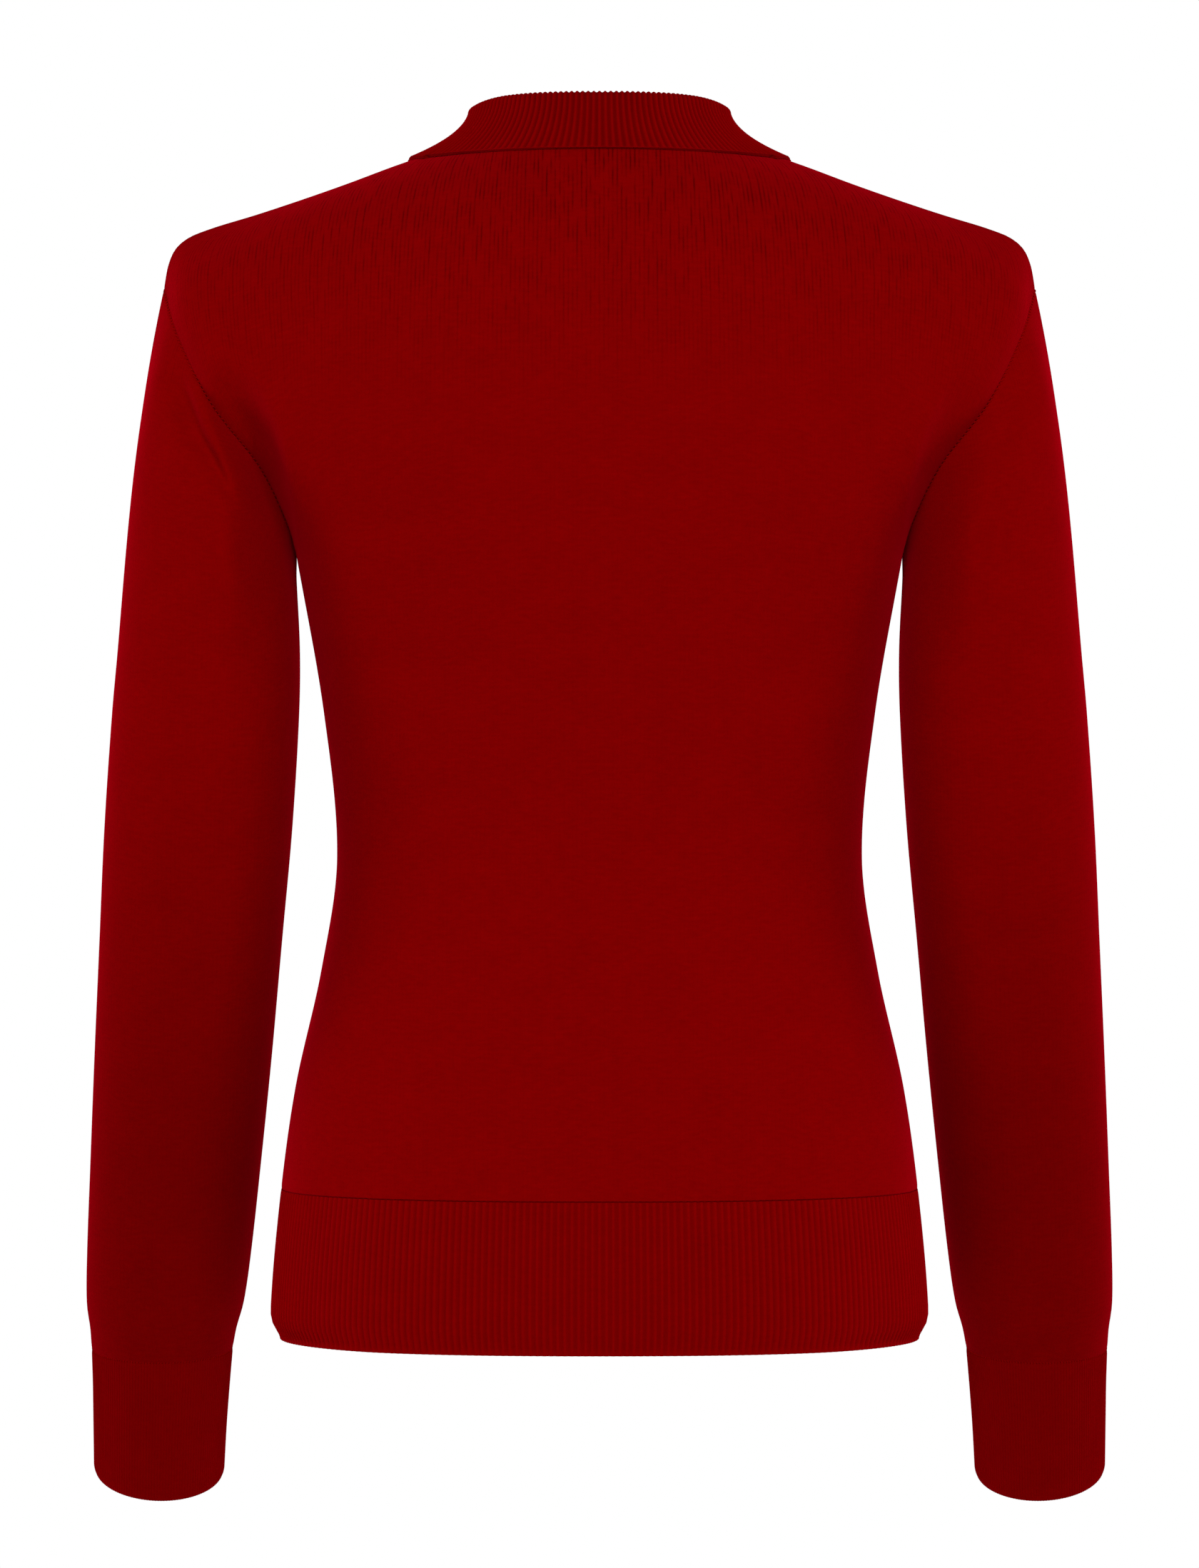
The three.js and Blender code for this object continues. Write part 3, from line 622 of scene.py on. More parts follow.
LOW_STEPS = fine_ends(96, high=False, first=0.002)
HIGH_STEPS = np.unique(np.append(fine_ends(62, low=False), 0.1))
back_shares = panel_shares("back")
back_grid = folded_both(eased(whole(half_panel("back", back_shares, LOW_STEPS, HIGH_STEPS), "back")))
back_seams = sink_edges(back_grid, ["bottom"], depth=0.25)
back_seams = tucked(sink_edges(back_seams, ["left", "right"]))
back_panel = cloth("back_panel_cloth", back_seams, KNIT, middle=back_grid.shape[1] // 2)

# %% [markdown]
# ## Front panel
# The front can't be seen in the photograph, so it is finished plainly: the same cloth, with a slit down
# from the neck for the button bands. Its middle columns follow the slit's edges.

# %% Front panel
SLIT_HALF = 14.3
SLIT_SHARE = 0.06  # the column that runs along the slit
SLIT_FOOT = 0.1  # where the slit ends, on the way up from the underarm
front_shares = np.unique(np.append(panel_shares("front"), SLIT_SHARE))
front_half = eased(whole(half_panel("front", front_shares, LOW_STEPS, HIGH_STEPS), "front"))
front_half = front_half[:, front_half.shape[1] // 2 :]
edge = int(np.argmin(np.abs(front_shares - SLIT_SHARE)))
shift = SLIT_HALF - front_half[:, edge, 0]
beyond_slit = 1 - smoothstep(front_shares, SLIT_SHARE, 0.2)
near = np.where(front_shares <= SLIT_SHARE, front_shares / SLIT_SHARE, beyond_slit)
front_half[..., 0] += shift[:, None] * near
front_grid = folded_both(whole(front_half, "front"))
middle = front_grid.shape[1] // 2
slit_row = len(LOW_STEPS) - 1 + int(np.argmin(np.abs(HIGH_STEPS - SLIT_FOOT)))
front_seams = sink_edges(front_grid, ["bottom"], depth=0.25)
front_seams = tucked(sink_edges(front_seams, ["left", "right"]))
front_panel = cloth(
    "front_panel_cloth", front_seams, KNIT, middle,
    leave_out=lambda row, column: row >= slit_row and middle - edge <= column < middle + edge,
)

# %% [markdown]
# ## Ribs
# A one-by-one rib stands up in narrow columns with grooves between them. On this shirt the ribs of the
# collar and the hem are wide enough to throw small shadows, so they are real shapes and not only bump.
# A rib follows a line of the cloth, so a piece needs five or six columns of points for each.


# %% Rib helper
def ribbed(grid, ribs, height, closed=False, fade=4.0):
    """Raises a whole number of ribs across a grid whose columns are evenly spaced. They fade at its foot."""
    phase = np.linspace(0, 2 * math.pi * ribs, grid.shape[1])
    wave = np.cos(phase)
    wave = np.sign(wave) * np.abs(wave) ** 0.8
    strength = lerp(0.35, 1, smoothstep(lengths(grid, 0), 0, fade))
    return grid + grid_normals(grid, closed) * (height / 2 * (wave - 1) * strength)[..., None]


# %% [markdown]
# ## Hem band
# The hem is a deep ribbed band under each body panel, drawn in a little where it joins it. Its lower edge
# is turned, so it looks rounded.

# %% Hem band
RIB = 1.8
HEM_RIB_PITCH = 3.2
HEM_RIB_HEIGHT = 0.75
HEM_EDGE = 14.0  # how far up the band starts to turn in


def hem_grid(facing):
    section = half_section(BAND_TOP, facing, np.linspace(0, 1, 200))
    length = np.linalg.norm(np.diff(section, axis=0), axis=1).sum()
    ribs = round(length / HEM_RIB_PITCH)
    shares = np.linspace(0, 1, ribs * 6 + 1)
    heights = lerp(HEM, BAND_TOP, fine_ends(18, first=0.009))
    grid = whole(np.stack([half_section(z, facing, shares) for z in heights]), facing)
    up = lengths(grid, 0)
    at_side = smoothstep(np.abs(grid[..., 0]), 100, 156)
    turned = (1 - smoothstep(up, 0, HEM_EDGE)) ** 2 * lerp(0.6, 3, at_side)
    smooth = sink_edges(grid - grid_normals(grid) * turned[..., None], ["top"], depth=0.1)
    return ribbed(smooth, 2 * ribs, HEM_RIB_HEIGHT), smooth


hem_bands = []
for facing in ("back", "front"):
    grid, smooth = hem_grid(facing)
    hem_bands.append(cloth(f"hem_{facing}_cloth", grid, RIB, grid.shape[1] // 2, smooth=smooth))

# %% [markdown]
# ## Sleeves
# A set-in sleeve is a tapering tube whose cap fits the armhole. Its rings are ovals that move forward
# below the elbow, because a relaxed arm hangs a little bent. The cap's lines leave the last ring
# upwards and arrive at the armhole seam from outside and below.

# %% Surface of the left sleeve
sleeve_at = smooth_table(
    "z x y half deep tilt",
    [
        (-214, 188.5, -6, 42, 53, 0),
        (-245, 189, -5, 44, 52, 0),
        (-276, 190.5, -4, 45.2, 50.5, 0),
        (-331, 194, -4, 45.4, 48, 0),
        (-386, 198, -9, 44.2, 46, 1),
        (-442, 202.5, -22, 43.1, 43.5, 3),
        (-498, 207.5, -40, 41.6, 41, 5),
        (-541, 211.5, -54, 40.2, 39.5, 7),
        (-565, 213.8, -62, 38.6, 37.8, 8),
        (-578, 215, -66, 36, 35, 9),
        (-588, 215.8, -69.5, 34.8, 33.6, 9),
    ],
)
SLEEVE_FOOT = -588
SLEEVE_RING = -214  # the highest whole ring


def ring(size, angles):
    """An oval ring: the angle is 0 at the underarm and goes round by way of the front."""
    back = -np.sin(angles) * size["deep"]
    lean = np.radians(size["tilt"])
    x = size["x"] - np.cos(angles) * size["half"]
    return np.stack([x, size["y"] + back * np.cos(lean), size["z"] - back * np.sin(lean)], -1)


def sleeve_surface(angles, low_steps, cap_steps):
    """The left sleeve: its rings from the cuff up, then the cap's lines to the armhole."""
    rings = [ring(sleeve_at(lerp(SLEEVE_FOOT, SLEEVE_RING, s)), angles) for s in low_steps]
    last = rings[-1]
    below = ring(sleeve_at(SLEEVE_RING - 8), angles)
    front = angles <= math.pi
    share = np.where(front, angles / math.pi, 2 - angles / math.pi)
    high = np.where(front[:, None], at_shares(ARMHOLE["front"], share), at_shares(ARMHOLE["back"], share))
    reach = np.linalg.norm(high - last, axis=1)[:, None]
    bulge = np.sin(math.pi * share)
    lean = np.where(front, -0.15, 0.15) * bulge
    leave = np.stack([0.22 * share + 0.5 * bulge, lean, -np.ones_like(share)], -1)
    leave = leave / np.linalg.norm(leave, axis=1)[:, None]
    arrive = (last - below) / np.linalg.norm(last - below, axis=1)[:, None]
    cap = bezier(last, last + arrive * reach * 0.36, high + leave * reach * 0.32, high, cap_steps)
    return np.vstack([rings, cap[1:]])


# %% [markdown]
# ### The two sleeves
# The right sleeve is the left one in mirror image. Only the folds differ a little, as on any pair of
# sleeves, so they are pushed in afterwards.

# %% Sleeves
around = np.linspace(0, 2 * math.pi, 209)
sleeve_low = fine_ends(112, high=False, first=0.002)
sleeve_cap = fine_ends(46, low=False)
plain_sleeve = sleeve_surface(around, sleeve_low, sleeve_cap)
outer_line = len(around) // 2


def both_ways(grid, side):
    """The left arm's grid as it is, or mirrored for the right arm."""
    return grid if side == "left" else grid[:, ::-1] * [-1, 1, 1]


def sleeve_plane(grid):
    """The plane that parts a sleeve's back from its front, at each point's height."""
    return sleeve_at(np.clip(grid[..., 2], SLEEVE_FOOT, SLEEVE_RING))["y"]


sleeves, sleeve_grids = [], []
for side in ("left", "right"):
    grid = both_ways(plain_sleeve, side)
    grid = folded(grid, side, sleeve_plane(grid))
    grid = sink_edges(grid, ["bottom"], closed=True, depth=0.3)
    grid = sink_edges(grid, ["top"], closed=True)
    sleeve_grids.append(grid)
    sleeves.append(cloth(f"sleeve_{side}_cloth", grid, KNIT, outer_line, closed=True))

# %% [markdown]
# ## Cuffs
# The cuffs are finely ribbed tubes, narrower than the sleeve above them. Their open ends hang at a slant,
# lower behind the hand. The ribs are about half as wide as those of the hem.

# %% Cuffs
cuff_at = smooth_table(
    "z x y half deep tilt",
    [
        (-588.6, 215.8, -69.7, 34.8, 33.6, 9),
        (-605, 216.6, -75, 33.9, 32.6, 13),
        (-627, 217.7, -81.5, 33, 31.8, 19),
        (-650, 218.6, -88, 32.3, 31.2, 25),
    ],
)
CUFF_TOP, CUFF_END = -588, -650
CUFF_RIBS = 144
CUFF_RIB_HEIGHT = 0.4
CUFF_SLOPE = 0.045  # how much lower the end hangs on the side of the body
CUFF_EDGE, CUFF_TURN = 3, 0.7  # how far up the end starts to turn in, and by how much
around_cuff = np.linspace(0, 2 * math.pi, CUFF_RIBS * 5 + 1)
cuff_steps = fine_ends(14, first=0.01)
cuff_grid = np.stack([ring(cuff_at(lerp(CUFF_END, CUFF_TOP, s)), around_cuff) for s in cuff_steps])
cuff_across = cuff_grid[..., 0] - cuff_grid[..., 0].mean(axis=1, keepdims=True)
cuff_grid[..., 2] += CUFF_SLOPE * (1 - cuff_steps)[:, None] * cuff_across
cuff_up = lengths(cuff_grid, 0)
cuff_turned = CUFF_TURN * (1 - smoothstep(cuff_up, 0, CUFF_EDGE)) ** 2
cuff_grid = cuff_grid - grid_normals(cuff_grid, True) * cuff_turned[..., None]
cuff_smooth = sink_edges(cuff_grid, ["top"], closed=True, depth=0.3)
cuff_grid = ribbed(cuff_smooth, CUFF_RIBS, CUFF_RIB_HEIGHT, closed=True)
cuffs = []
for side in ("left", "right"):
    grid, smooth = both_ways(cuff_grid, side), both_ways(cuff_smooth, side)
    cuffs.append(cloth(f"cuff_{side}_cloth", grid, RIB, grid.shape[1] // 2, closed=True, smooth=smooth))

# %% [markdown]
# ## Collar
# The collar is one ribbed strip. It stands up from the neckline, folds over a round fold and falls back
# onto the shoulders, with its points in front. Its edge is laid on the body panels: behind it is moved
# level until it lies on them, and at the sides and in front upright. The rest of the fall has to clear
# the cloth below it, so each of its points is pushed outwards as far as it must.

# %% Collar
COLLAR_RIB = 1.6
COLLAR_ROLL = 4
COLLAR_END = 176
COLLAR_RIB_PITCH = 3.0
COLLAR_RIB_HEIGHT = 0.75
ABOVE_PANEL = COLLAR_RIB + 0.35
OVER_BAND = 2.4
UPPER_BAND_HALF = 15.5
fold_at = smooth_table(
    "turn out up",
    [(0, 1, 16.2), (45, 0.5, 16.7), (75, -1.3, 16), (90, -2.3, 16.9), (135, 0, 15), (COLLAR_END, 2, 14)],
)
edge_at = smooth_table(
    "turn x y z",
    [
        (0, 0, 76, -8.3),
        (30, 42, 66, -8.2),
        (60, 76, 38, -7.6),
        (90, 92, -3, -8.5),
        (120, 94, -46, -20),
        (150, 80, -80, -60),
        (COLLAR_END, 51, -100, -103),
    ],
)


def tree_of(grid):
    """A search tree over a grid's outer face."""
    rows, columns = grid.shape[:2]
    index = np.arange(rows * columns).reshape(rows, columns)
    faces = np.stack([index[:-1, :-1], index[:-1, 1:], index[1:, 1:], index[1:, :-1]], -1).reshape(-1, 4)
    return BVHTree.FromPolygons([Vector(p) for p in grid.reshape(-1, 3)], faces.tolist())


under_collar = {"back": tree_of(back_grid), "front": tree_of(front_grid)}


def height_above(point):
    """How far a point is above the body panels, and their normal there."""
    found = [tree.find_nearest(Vector(point)) for tree in under_collar.values()]
    place, normal, _, _ = min(found, key=lambda hit: hit[3])
    normal = np.array(normal)
    return (point - np.array(place)) @ normal, normal


def wanted_height(point):
    """How far above the panel the collar's outer side lies. It is more over the button bands."""
    over_band = 1 - smoothstep(point[0], UPPER_BAND_HALF, 2 * UPPER_BAND_HALF) if point[1] < 0 else 0
    return ABOVE_PANEL + OVER_BAND * over_band


def laid(point, way):
    """The point moved along the way given until it lies on the panel next to it."""
    for _ in range(8):
        gap, normal = height_above(point)
        point = point + way * (wanted_height(point) - gap) / max(normal @ way, 0.3)
    return point


def settled(point):
    """The point moved outwards, where it must, to lie clear of the panel under it."""
    gap, normal = height_above(point)
    return point + normal * max(wanted_height(point) - gap, 0)


def collar_profile(turn):
    """A line of the collar from the edge of its fall up over the fold and down to the neckline."""
    neck = neck_point(turn)
    depth = NECK_BACK if turn < 90 else NECK_FRONT
    out = np.array([neck[0] / NECK_HALF**2, neck[1] / depth**2, 0])
    out = out / np.linalg.norm(out)
    up = np.array([0, 0, 1])
    fold, edge_row = fold_at(turn), edge_at(turn)
    tip = smoothstep(turn, 68, 92) * math.pi / 2  # 0 is level, a quarter turn is upright
    way = np.array([0, math.cos(tip), math.sin(tip)])
    edge_point = laid(np.array([edge_row["x"], edge_row["y"], edge_row["z"]]), way)
    centre = neck + out * fold["out"] + up * (fold["up"] - COLLAR_ROLL)

    def on_roll(degrees):
        angle = math.radians(degrees)
        return centre + COLLAR_ROLL * (out * math.cos(angle) + up * math.sin(angle))

    top = on_roll(0)
    handle = top * [0.87, 0.87, 0.5] + edge_point * [0.13, 0.13, 0.5]
    steps = fine_ends(15, high=False, first=0.02)
    fall = [edge_point * (1 - t) ** 2 + 2 * handle * t * (1 - t) + top * t**2 for t in steps]
    lift = lerp(0.3, 0.9, smoothstep(turn, 70, 100))
    base = neck - out * COLLAR_RIB + up * lift
    stand = [lerp(on_roll(180), base, t) for t in np.linspace(0, 1, 6)[1:]]
    roll = [on_roll(d) for d in np.linspace(0, 180, 11)[1:]]
    return np.array(fall[:1] + [settled(p) for p in fall[1:]] + roll + stand)


# The collar's lines are spread evenly along the middle of its fall
coarse = np.linspace(0, COLLAR_END, 89)
walk = np.array([(collar_profile(t)[0] + collar_profile(t)[-1]) / 2 for t in coarse])
along_collar = np.concatenate([[0], np.cumsum(np.linalg.norm(np.diff(walk, axis=0), axis=1))])
collar_ribs = round(along_collar[-1] / COLLAR_RIB_PITCH)
turns = np.interp(np.linspace(0, along_collar[-1], collar_ribs * 6 + 1), along_collar, coarse)
half_collar = np.stack([collar_profile(t) for t in turns], 1)
collar_grid = np.concatenate([half_collar[:, ::-1], half_collar[:, 1:] * [-1, 1, 1]], 1)
ribbed_collar = ribbed(collar_grid, 2 * collar_ribs, COLLAR_RIB_HEIGHT, fade=1.5)
collar = cloth("collar_cloth", ribbed_collar, COLLAR_RIB, collar_grid.shape[1] // 2, smooth=collar_grid)
print("collar:", 2 * collar_ribs, "ribs")

# %% [markdown]
# ## Button bands
# Two ribbed bands close the slit in front: one sewn under the slit's left edge, and one over it. The
# wearer's right side laps over the left, as is usual on a woman's shirt.

# %% Button bands
BAND_RUN_ON = 8  # how far the upper band runs on below the slit
BAND_RIBS = 5
BAND_RIB_HEIGHT = 0.6
UNDER_BAND = 1.4  # the under band's thickness
SLIT_GAP = 0.3  # between the under band and the edge of the slit
UNDER_SUNK = 0.2  # how far the under band lies below the panel's outer side
OVER_PANEL = 0.4  # between the panel and the upper band


def opening_grid(half, run_on, above):
    """A band over the slit: rows from its foot up, its points lifted a little above the panel."""
    rows = front_grid[slit_row:]
    centre, side_edge = rows[:, middle], rows[:, middle + edge]
    if run_on:
        foot_centre = centre[0] + (centre[0] - centre[1]) / np.linalg.norm(centre[0] - centre[1]) * run_on
        foot_edge = side_edge[0] + foot_centre - centre[0]
        extra = np.linspace(1, 0, 5)[:-1, None]
        centre = np.vstack([lerp(centre[0], foot_centre, extra), centre])
        side_edge = np.vstack([lerp(side_edge[0], foot_edge, extra), side_edge])
    across = np.linspace(0, half / SLIT_HALF, BAND_RIBS * 6 + 1)
    half_rows = centre[:, None] + (side_edge - centre)[:, None] * across[None, :, None]
    grid = whole(half_rows, "front")
    return grid + grid_normals(grid) * above


under_smooth = opening_grid(SLIT_HALF - SLIT_GAP, 0, -UNDER_SUNK)
upper_smooth = opening_grid(UPPER_BAND_HALF, BAND_RUN_ON, RIB + OVER_PANEL)
under_grid = ribbed(under_smooth, 2 * BAND_RIBS, BAND_RIB_HEIGHT)
upper_grid = ribbed(upper_smooth, 2 * BAND_RIBS, BAND_RIB_HEIGHT)
band_middle = upper_grid.shape[1] // 2
button_band = cloth("button_band_cloth", under_grid, UNDER_BAND, band_middle, smooth=under_smooth)
buttonhole_band = cloth("buttonhole_band_cloth", upper_grid, RIB, band_middle, smooth=upper_smooth)

# %% [markdown]
# ## Buttons
# The buttons are plain moulded discs with a rim, a shallow dish and four holes, sewn on with a cross of
# thread. One is shaped from a cylinder by insets and a bevel, its holes are cut by a Boolean modifier,
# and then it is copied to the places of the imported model's buttons.


# %% Buttons
BUTTON_RADIUS = 5.6
BUTTON_THICKNESS = 2.6
RIM = 1.3
DISH = 0.7
HOLE_RADIUS = 0.75
HOLE_SPREAD = 1.5
THREAD_RADIUS = 0.22
ABOVE_BAND = 0.35  # between a button's back and the line of the band's ribs


def add_cylinder(radius, depth, place, vertices):
    deselect()
    bpy.ops.mesh.primitive_cylinder_add(
        vertices=vertices, radius=radius * MM, depth=depth * MM, location=[c * MM for c in place]
    )
    return bpy.context.object


def make_button():
    """A button at the origin, its back at z = 0 and its face towards +Z."""
    button = add_cylinder(BUTTON_RADIUS, BUTTON_THICKNESS, (0, 0, BUTTON_THICKNESS / 2), 40)
    bpy.ops.object.transform_apply(location=True, rotation=False, scale=False)
    bpy.ops.object.mode_set(mode="EDIT")
    bpy.ops.mesh.select_all(action="DESELECT")
    bpy.ops.object.mode_set(mode="OBJECT")
    for face in button.data.polygons:
        face.select = face.normal.z > 0.9
    bpy.ops.object.mode_set(mode="EDIT")
    bpy.ops.mesh.inset(thickness=RIM * MM)
    bpy.ops.mesh.inset(thickness=0.5 * MM, depth=-DISH * MM)
    bpy.ops.mesh.select_all(action="DESELECT")
    bpy.ops.object.mode_set(mode="OBJECT")
    bevel = button.modifiers.new("soft edges", "BEVEL")
    bevel.width = 0.35 * MM
    bevel.segments = 3
    bevel.angle_limit = math.radians(35)
    bpy.ops.object.modifier_apply(modifier=bevel.name)
    for x in (-HOLE_SPREAD, HOLE_SPREAD):
        for y in (-HOLE_SPREAD, HOLE_SPREAD):
            drill = add_cylinder(HOLE_RADIUS, 4 * BUTTON_THICKNESS, (x, y, 0), 14)
            deselect()
            bpy.context.view_layer.objects.active = button
            button.select_set(True)
            cut = button.modifiers.new("hole", "BOOLEAN")
            cut.operation = "DIFFERENCE"
            cut.object = drill
            bpy.ops.object.modifier_apply(modifier=cut.name)
            bpy.data.objects.remove(drill)
    bpy.ops.object.shade_smooth_by_angle(angle=math.radians(35))
    return button


def make_thread():
    """The cross of thread through a button's four holes."""
    spread = HOLE_SPREAD * MM
    strands = []
    for sign in (-1, 1):
        for offset in (-THREAD_RADIUS, THREAD_RADIUS):
            aside = offset * 0.7
            high = BUTTON_THICKNESS - DISH + 0.25 + 0.12 * sign  # one pair of strands crosses over the other
            deselect()
            bpy.ops.mesh.primitive_cylinder_add(
                vertices=8, radius=THREAD_RADIUS * MM, depth=2 * spread * math.sqrt(2),
                location=(-sign * aside * MM, aside * MM, high * MM),
                rotation=(math.pi / 2, 0, sign * math.pi / 4),
            )
            strands.append(bpy.context.object)
    deselect()
    for strand in strands:
        strand.select_set(True)
    bpy.context.view_layer.objects.active = strands[0]
    bpy.ops.object.join()
    bpy.ops.object.transform_apply(location=True, rotation=True, scale=True)
    bpy.ops.object.shade_smooth()
    return bpy.context.object


band_tree = tree_of(upper_grid)


def placed(original, name, node):
    """A copy of a piece made at the origin, moved to a button's place and turned to face as the band does."""
    low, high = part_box(node)
    centre = (low + high) / 2 / MM
    found, normal, _, _ = band_tree.find_nearest(centre)
    turn = Vector((0, 0, 1)).rotation_difference(normal).to_matrix().to_4x4()
    turn.translation = (found + normal * ABOVE_BAND) * MM
    copy = original.copy()
    copy.data = original.data.copy()
    copy.name = copy.data.name = name
    bpy.context.scene.collection.objects.link(copy)
    copy.data.transform(turn)
    return copy


first_button, first_thread = make_button(), make_thread()
buttons, threads = [], []
for number in (1, 2, 3):
    node = f"button_{number}"
    buttons.append(placed(first_button, f"button_disc_{number}", node))
    threads.append(placed(first_thread, f"button_thread_{number}", node))
bpy.data.objects.remove(first_button)
bpy.data.objects.remove(first_thread)
print("buttons:", len(buttons))

# %% [markdown]
# ## Seam stitches
# The sleeves are linked to the body stitch by stitch, and the links show as a row of small slanted loops
# along the armhole. The cuffs are linked on in the same way, with finer loops. One loop is a small bead,
# and it is copied along the seam at the pitch of the stitches.


# %% Seam stitches
def make_bead(long, wide, high):
    """A small rounded loop at the origin, its length along X and its height along Z."""
    deselect()
    size = (long * MM, wide * MM, high * MM)
    bpy.ops.mesh.primitive_uv_sphere_add(segments=8, ring_count=5, radius=0.5, scale=size)
    bpy.ops.object.transform_apply(location=False, rotation=False, scale=True)
    bpy.ops.object.shade_smooth()
    return bpy.context.object


def stitched(name, line, outwards, pitch, bead, slant):
    """Copies of a bead along a line of points, joined to one piece."""
    along = np.concatenate([[0], np.cumsum(np.linalg.norm(np.diff(line, axis=0), axis=1))])
    count = int(along[-1] / pitch)
    places = (np.arange(count) + 0.5) * along[-1] / count
    centre = np.stack([np.interp(places, along, line[:, k]) for k in range(3)], -1)
    normal = np.stack([np.interp(places, along, outwards[:, k]) for k in range(3)], -1)
    run = np.gradient(centre, axis=0)
    run = run / np.linalg.norm(run, axis=1)[:, None]
    side = np.cross(normal, run)
    side = side / np.linalg.norm(side, axis=1)[:, None]
    up = np.cross(run, side)
    turn = math.radians(slant)
    first = run * math.cos(turn) + side * math.sin(turn)
    second = np.cross(up, first)
    deselect()
    for i in range(count):
        copy = bead.copy()
        copy.data = bead.data.copy()
        move = Matrix.Identity(4)
        for k in range(3):
            move[k] = (first[i, k], second[i, k], up[i, k], centre[i, k] * MM)
        copy.data.transform(move)
        bpy.context.scene.collection.objects.link(copy)
        copy.select_set(True)
        bpy.context.view_layer.objects.active = copy
    bpy.ops.object.join()
    piece = bpy.context.object
    piece.name = piece.data.name = name
    print(name, count, "stitches")
    return piece


def ring_line(sleeve, row):
    """One ring of a sleeve and the directions outwards from it."""
    return sleeve[row], grid_normals(sleeve, closed=True)[row]


BEAD_LIFT = 0.3  # the armhole's loops stand this far out of the seam
armhole_bead = make_bead(2.3, 0.8, 0.7)
cuff_bead = make_bead(1.5, 0.5, 0.45)
stitches = []
for side, sleeve in zip(("left", "right"), sleeve_grids):
    way = 1 if side == "left" else -1
    line, outwards = ring_line(sleeve, -1)
    outwards = (outwards + ring_line(sleeve, -6)[1]) / 2
    line = line + outwards * BEAD_LIFT
    stitches.append(stitched(f"armhole_stitches_{side}", line, outwards, 2.4, armhole_bead, 40 * way))
    line, outwards = ring_line(sleeve, 0)
    stitches.append(stitched(f"cuff_stitches_{side}", line, outwards, 1.5, cuff_bead, 55 * way))
bpy.data.objects.remove(armhole_bead)
bpy.data.objects.remove(cuff_bead)

# %% [markdown]
# ## Knitted cloth as a material
# Fine stocking stitch shows as narrow columns of small Vs. Each V is worked out from the cloth map: how
# far a point is from the middle of its column, and how far along the column it is. The yarn is a
# mixture, so the colour has small paler and darker flecks that lie across the columns. The cloth has
# next to no shine, only a soft red bloom where one looks along it, which is what sheen does.


# %% Material helpers
def add_node(tree, kind, inputs=(), **settings):
    """A node with its settings, and its inputs set to numbers or linked to other nodes' outputs."""
    made = tree.nodes.new(kind)
    for key, value in settings.items():
        setattr(made, key, value)
    for socket, value in dict(inputs).items():
        if isinstance(value, bpy.types.NodeSocket):
            tree.links.new(value, made.inputs[socket])
        else:
            made.inputs[socket].default_value = value
    return made


def maths(tree, operation, *values):
    """The output of a Math node."""
    return add_node(tree, "ShaderNodeMath", enumerate(values), operation=operation).outputs[0]


def spread(tree, value, start, end, low, high):
    """A value that goes from start to end, spread from low to high and held beyond them."""
    limits = {"Value": value, "From Min": start, "From Max": end, "To Min": low, "To Max": high}
    return add_node(tree, "ShaderNodeMapRange", limits).outputs[0]


def grain(tree, place, scale, detail):
    """Soft noise with so many grains to a metre along each direction of a map."""
    mapped = add_node(tree, "ShaderNodeMapping", {"Vector": place, "Scale": scale}).outputs[0]
    return add_node(tree, "ShaderNodeTexNoise", {"Vector": mapped, "Scale": 1, "Detail": detail}).outputs[0]


def new_material(name):
    """An empty material with a Principled shader, its tree and that shader."""
    material = bpy.data.materials.new(name)
    material.use_nodes = True
    tree = material.node_tree
    tree.nodes.clear()
    shader = add_node(tree, "ShaderNodeBsdfPrincipled")
    output = add_node(tree, "ShaderNodeOutputMaterial")
    tree.links.new(shader.outputs[0], output.inputs["Surface"])
    return material, tree, shader


# %% [markdown]
# ### The stitches, and one knit made of them
# The legs of a V rise and fall along the column, and between two columns the yarn dips into a groove.
# On the yoke one looks along the cloth, so single columns stand out there, each for a finger's width.
# A real knit gets its darker lines from light alone. Here part of them is painted shade in the colour, because
# a bump throws no shadow: painted shade darkens the grooves between columns and ribs, and the forearms too.


# %% Knit
SHEEN = 0.38
SHEEN_TINT = (1.0, 0.0, 0.02, 1)
# painted shade in every groove between columns, all over the knit
GROOVE_PAINTED_SHADE = 0.03


def stitch_shape(tree, place, wale, course):
    """The height of the legs of the Vs, and the groove between two columns, from the cloth map."""
    parts = add_node(tree, "ShaderNodeSeparateXYZ", {0: place})
    across, along = parts.outputs[0], parts.outputs[1]
    column = maths(tree, "DIVIDE", across, wale * MM)
    off_middle = maths(tree, "ABSOLUTE", maths(tree, "SUBTRACT", maths(tree, "FRACT", column), 0.5))
    groove = maths(tree, "POWER", maths(tree, "MULTIPLY", off_middle, 2), 2)
    slant = maths(tree, "MULTIPLY", off_middle, 1.7)
    stitch = maths(tree, "ADD", maths(tree, "DIVIDE", along, course * MM), slant)
    leg = maths(tree, "SINE", maths(tree, "MULTIPLY", stitch, 2 * math.pi))
    return maths(tree, "MULTIPLY", leg, 0.22), groove


def yoke_lines(tree, place, level):
    """1 where a column stands out on the yoke, 0 everywhere below it."""
    yoke = spread(tree, level, -0.13, -0.03, 0, 1)
    standing = spread(tree, grain(tree, place, (430, 62, 1), 2), 0.4, 0.66, 0, 1)
    return maths(tree, "MULTIPLY", yoke, standing)


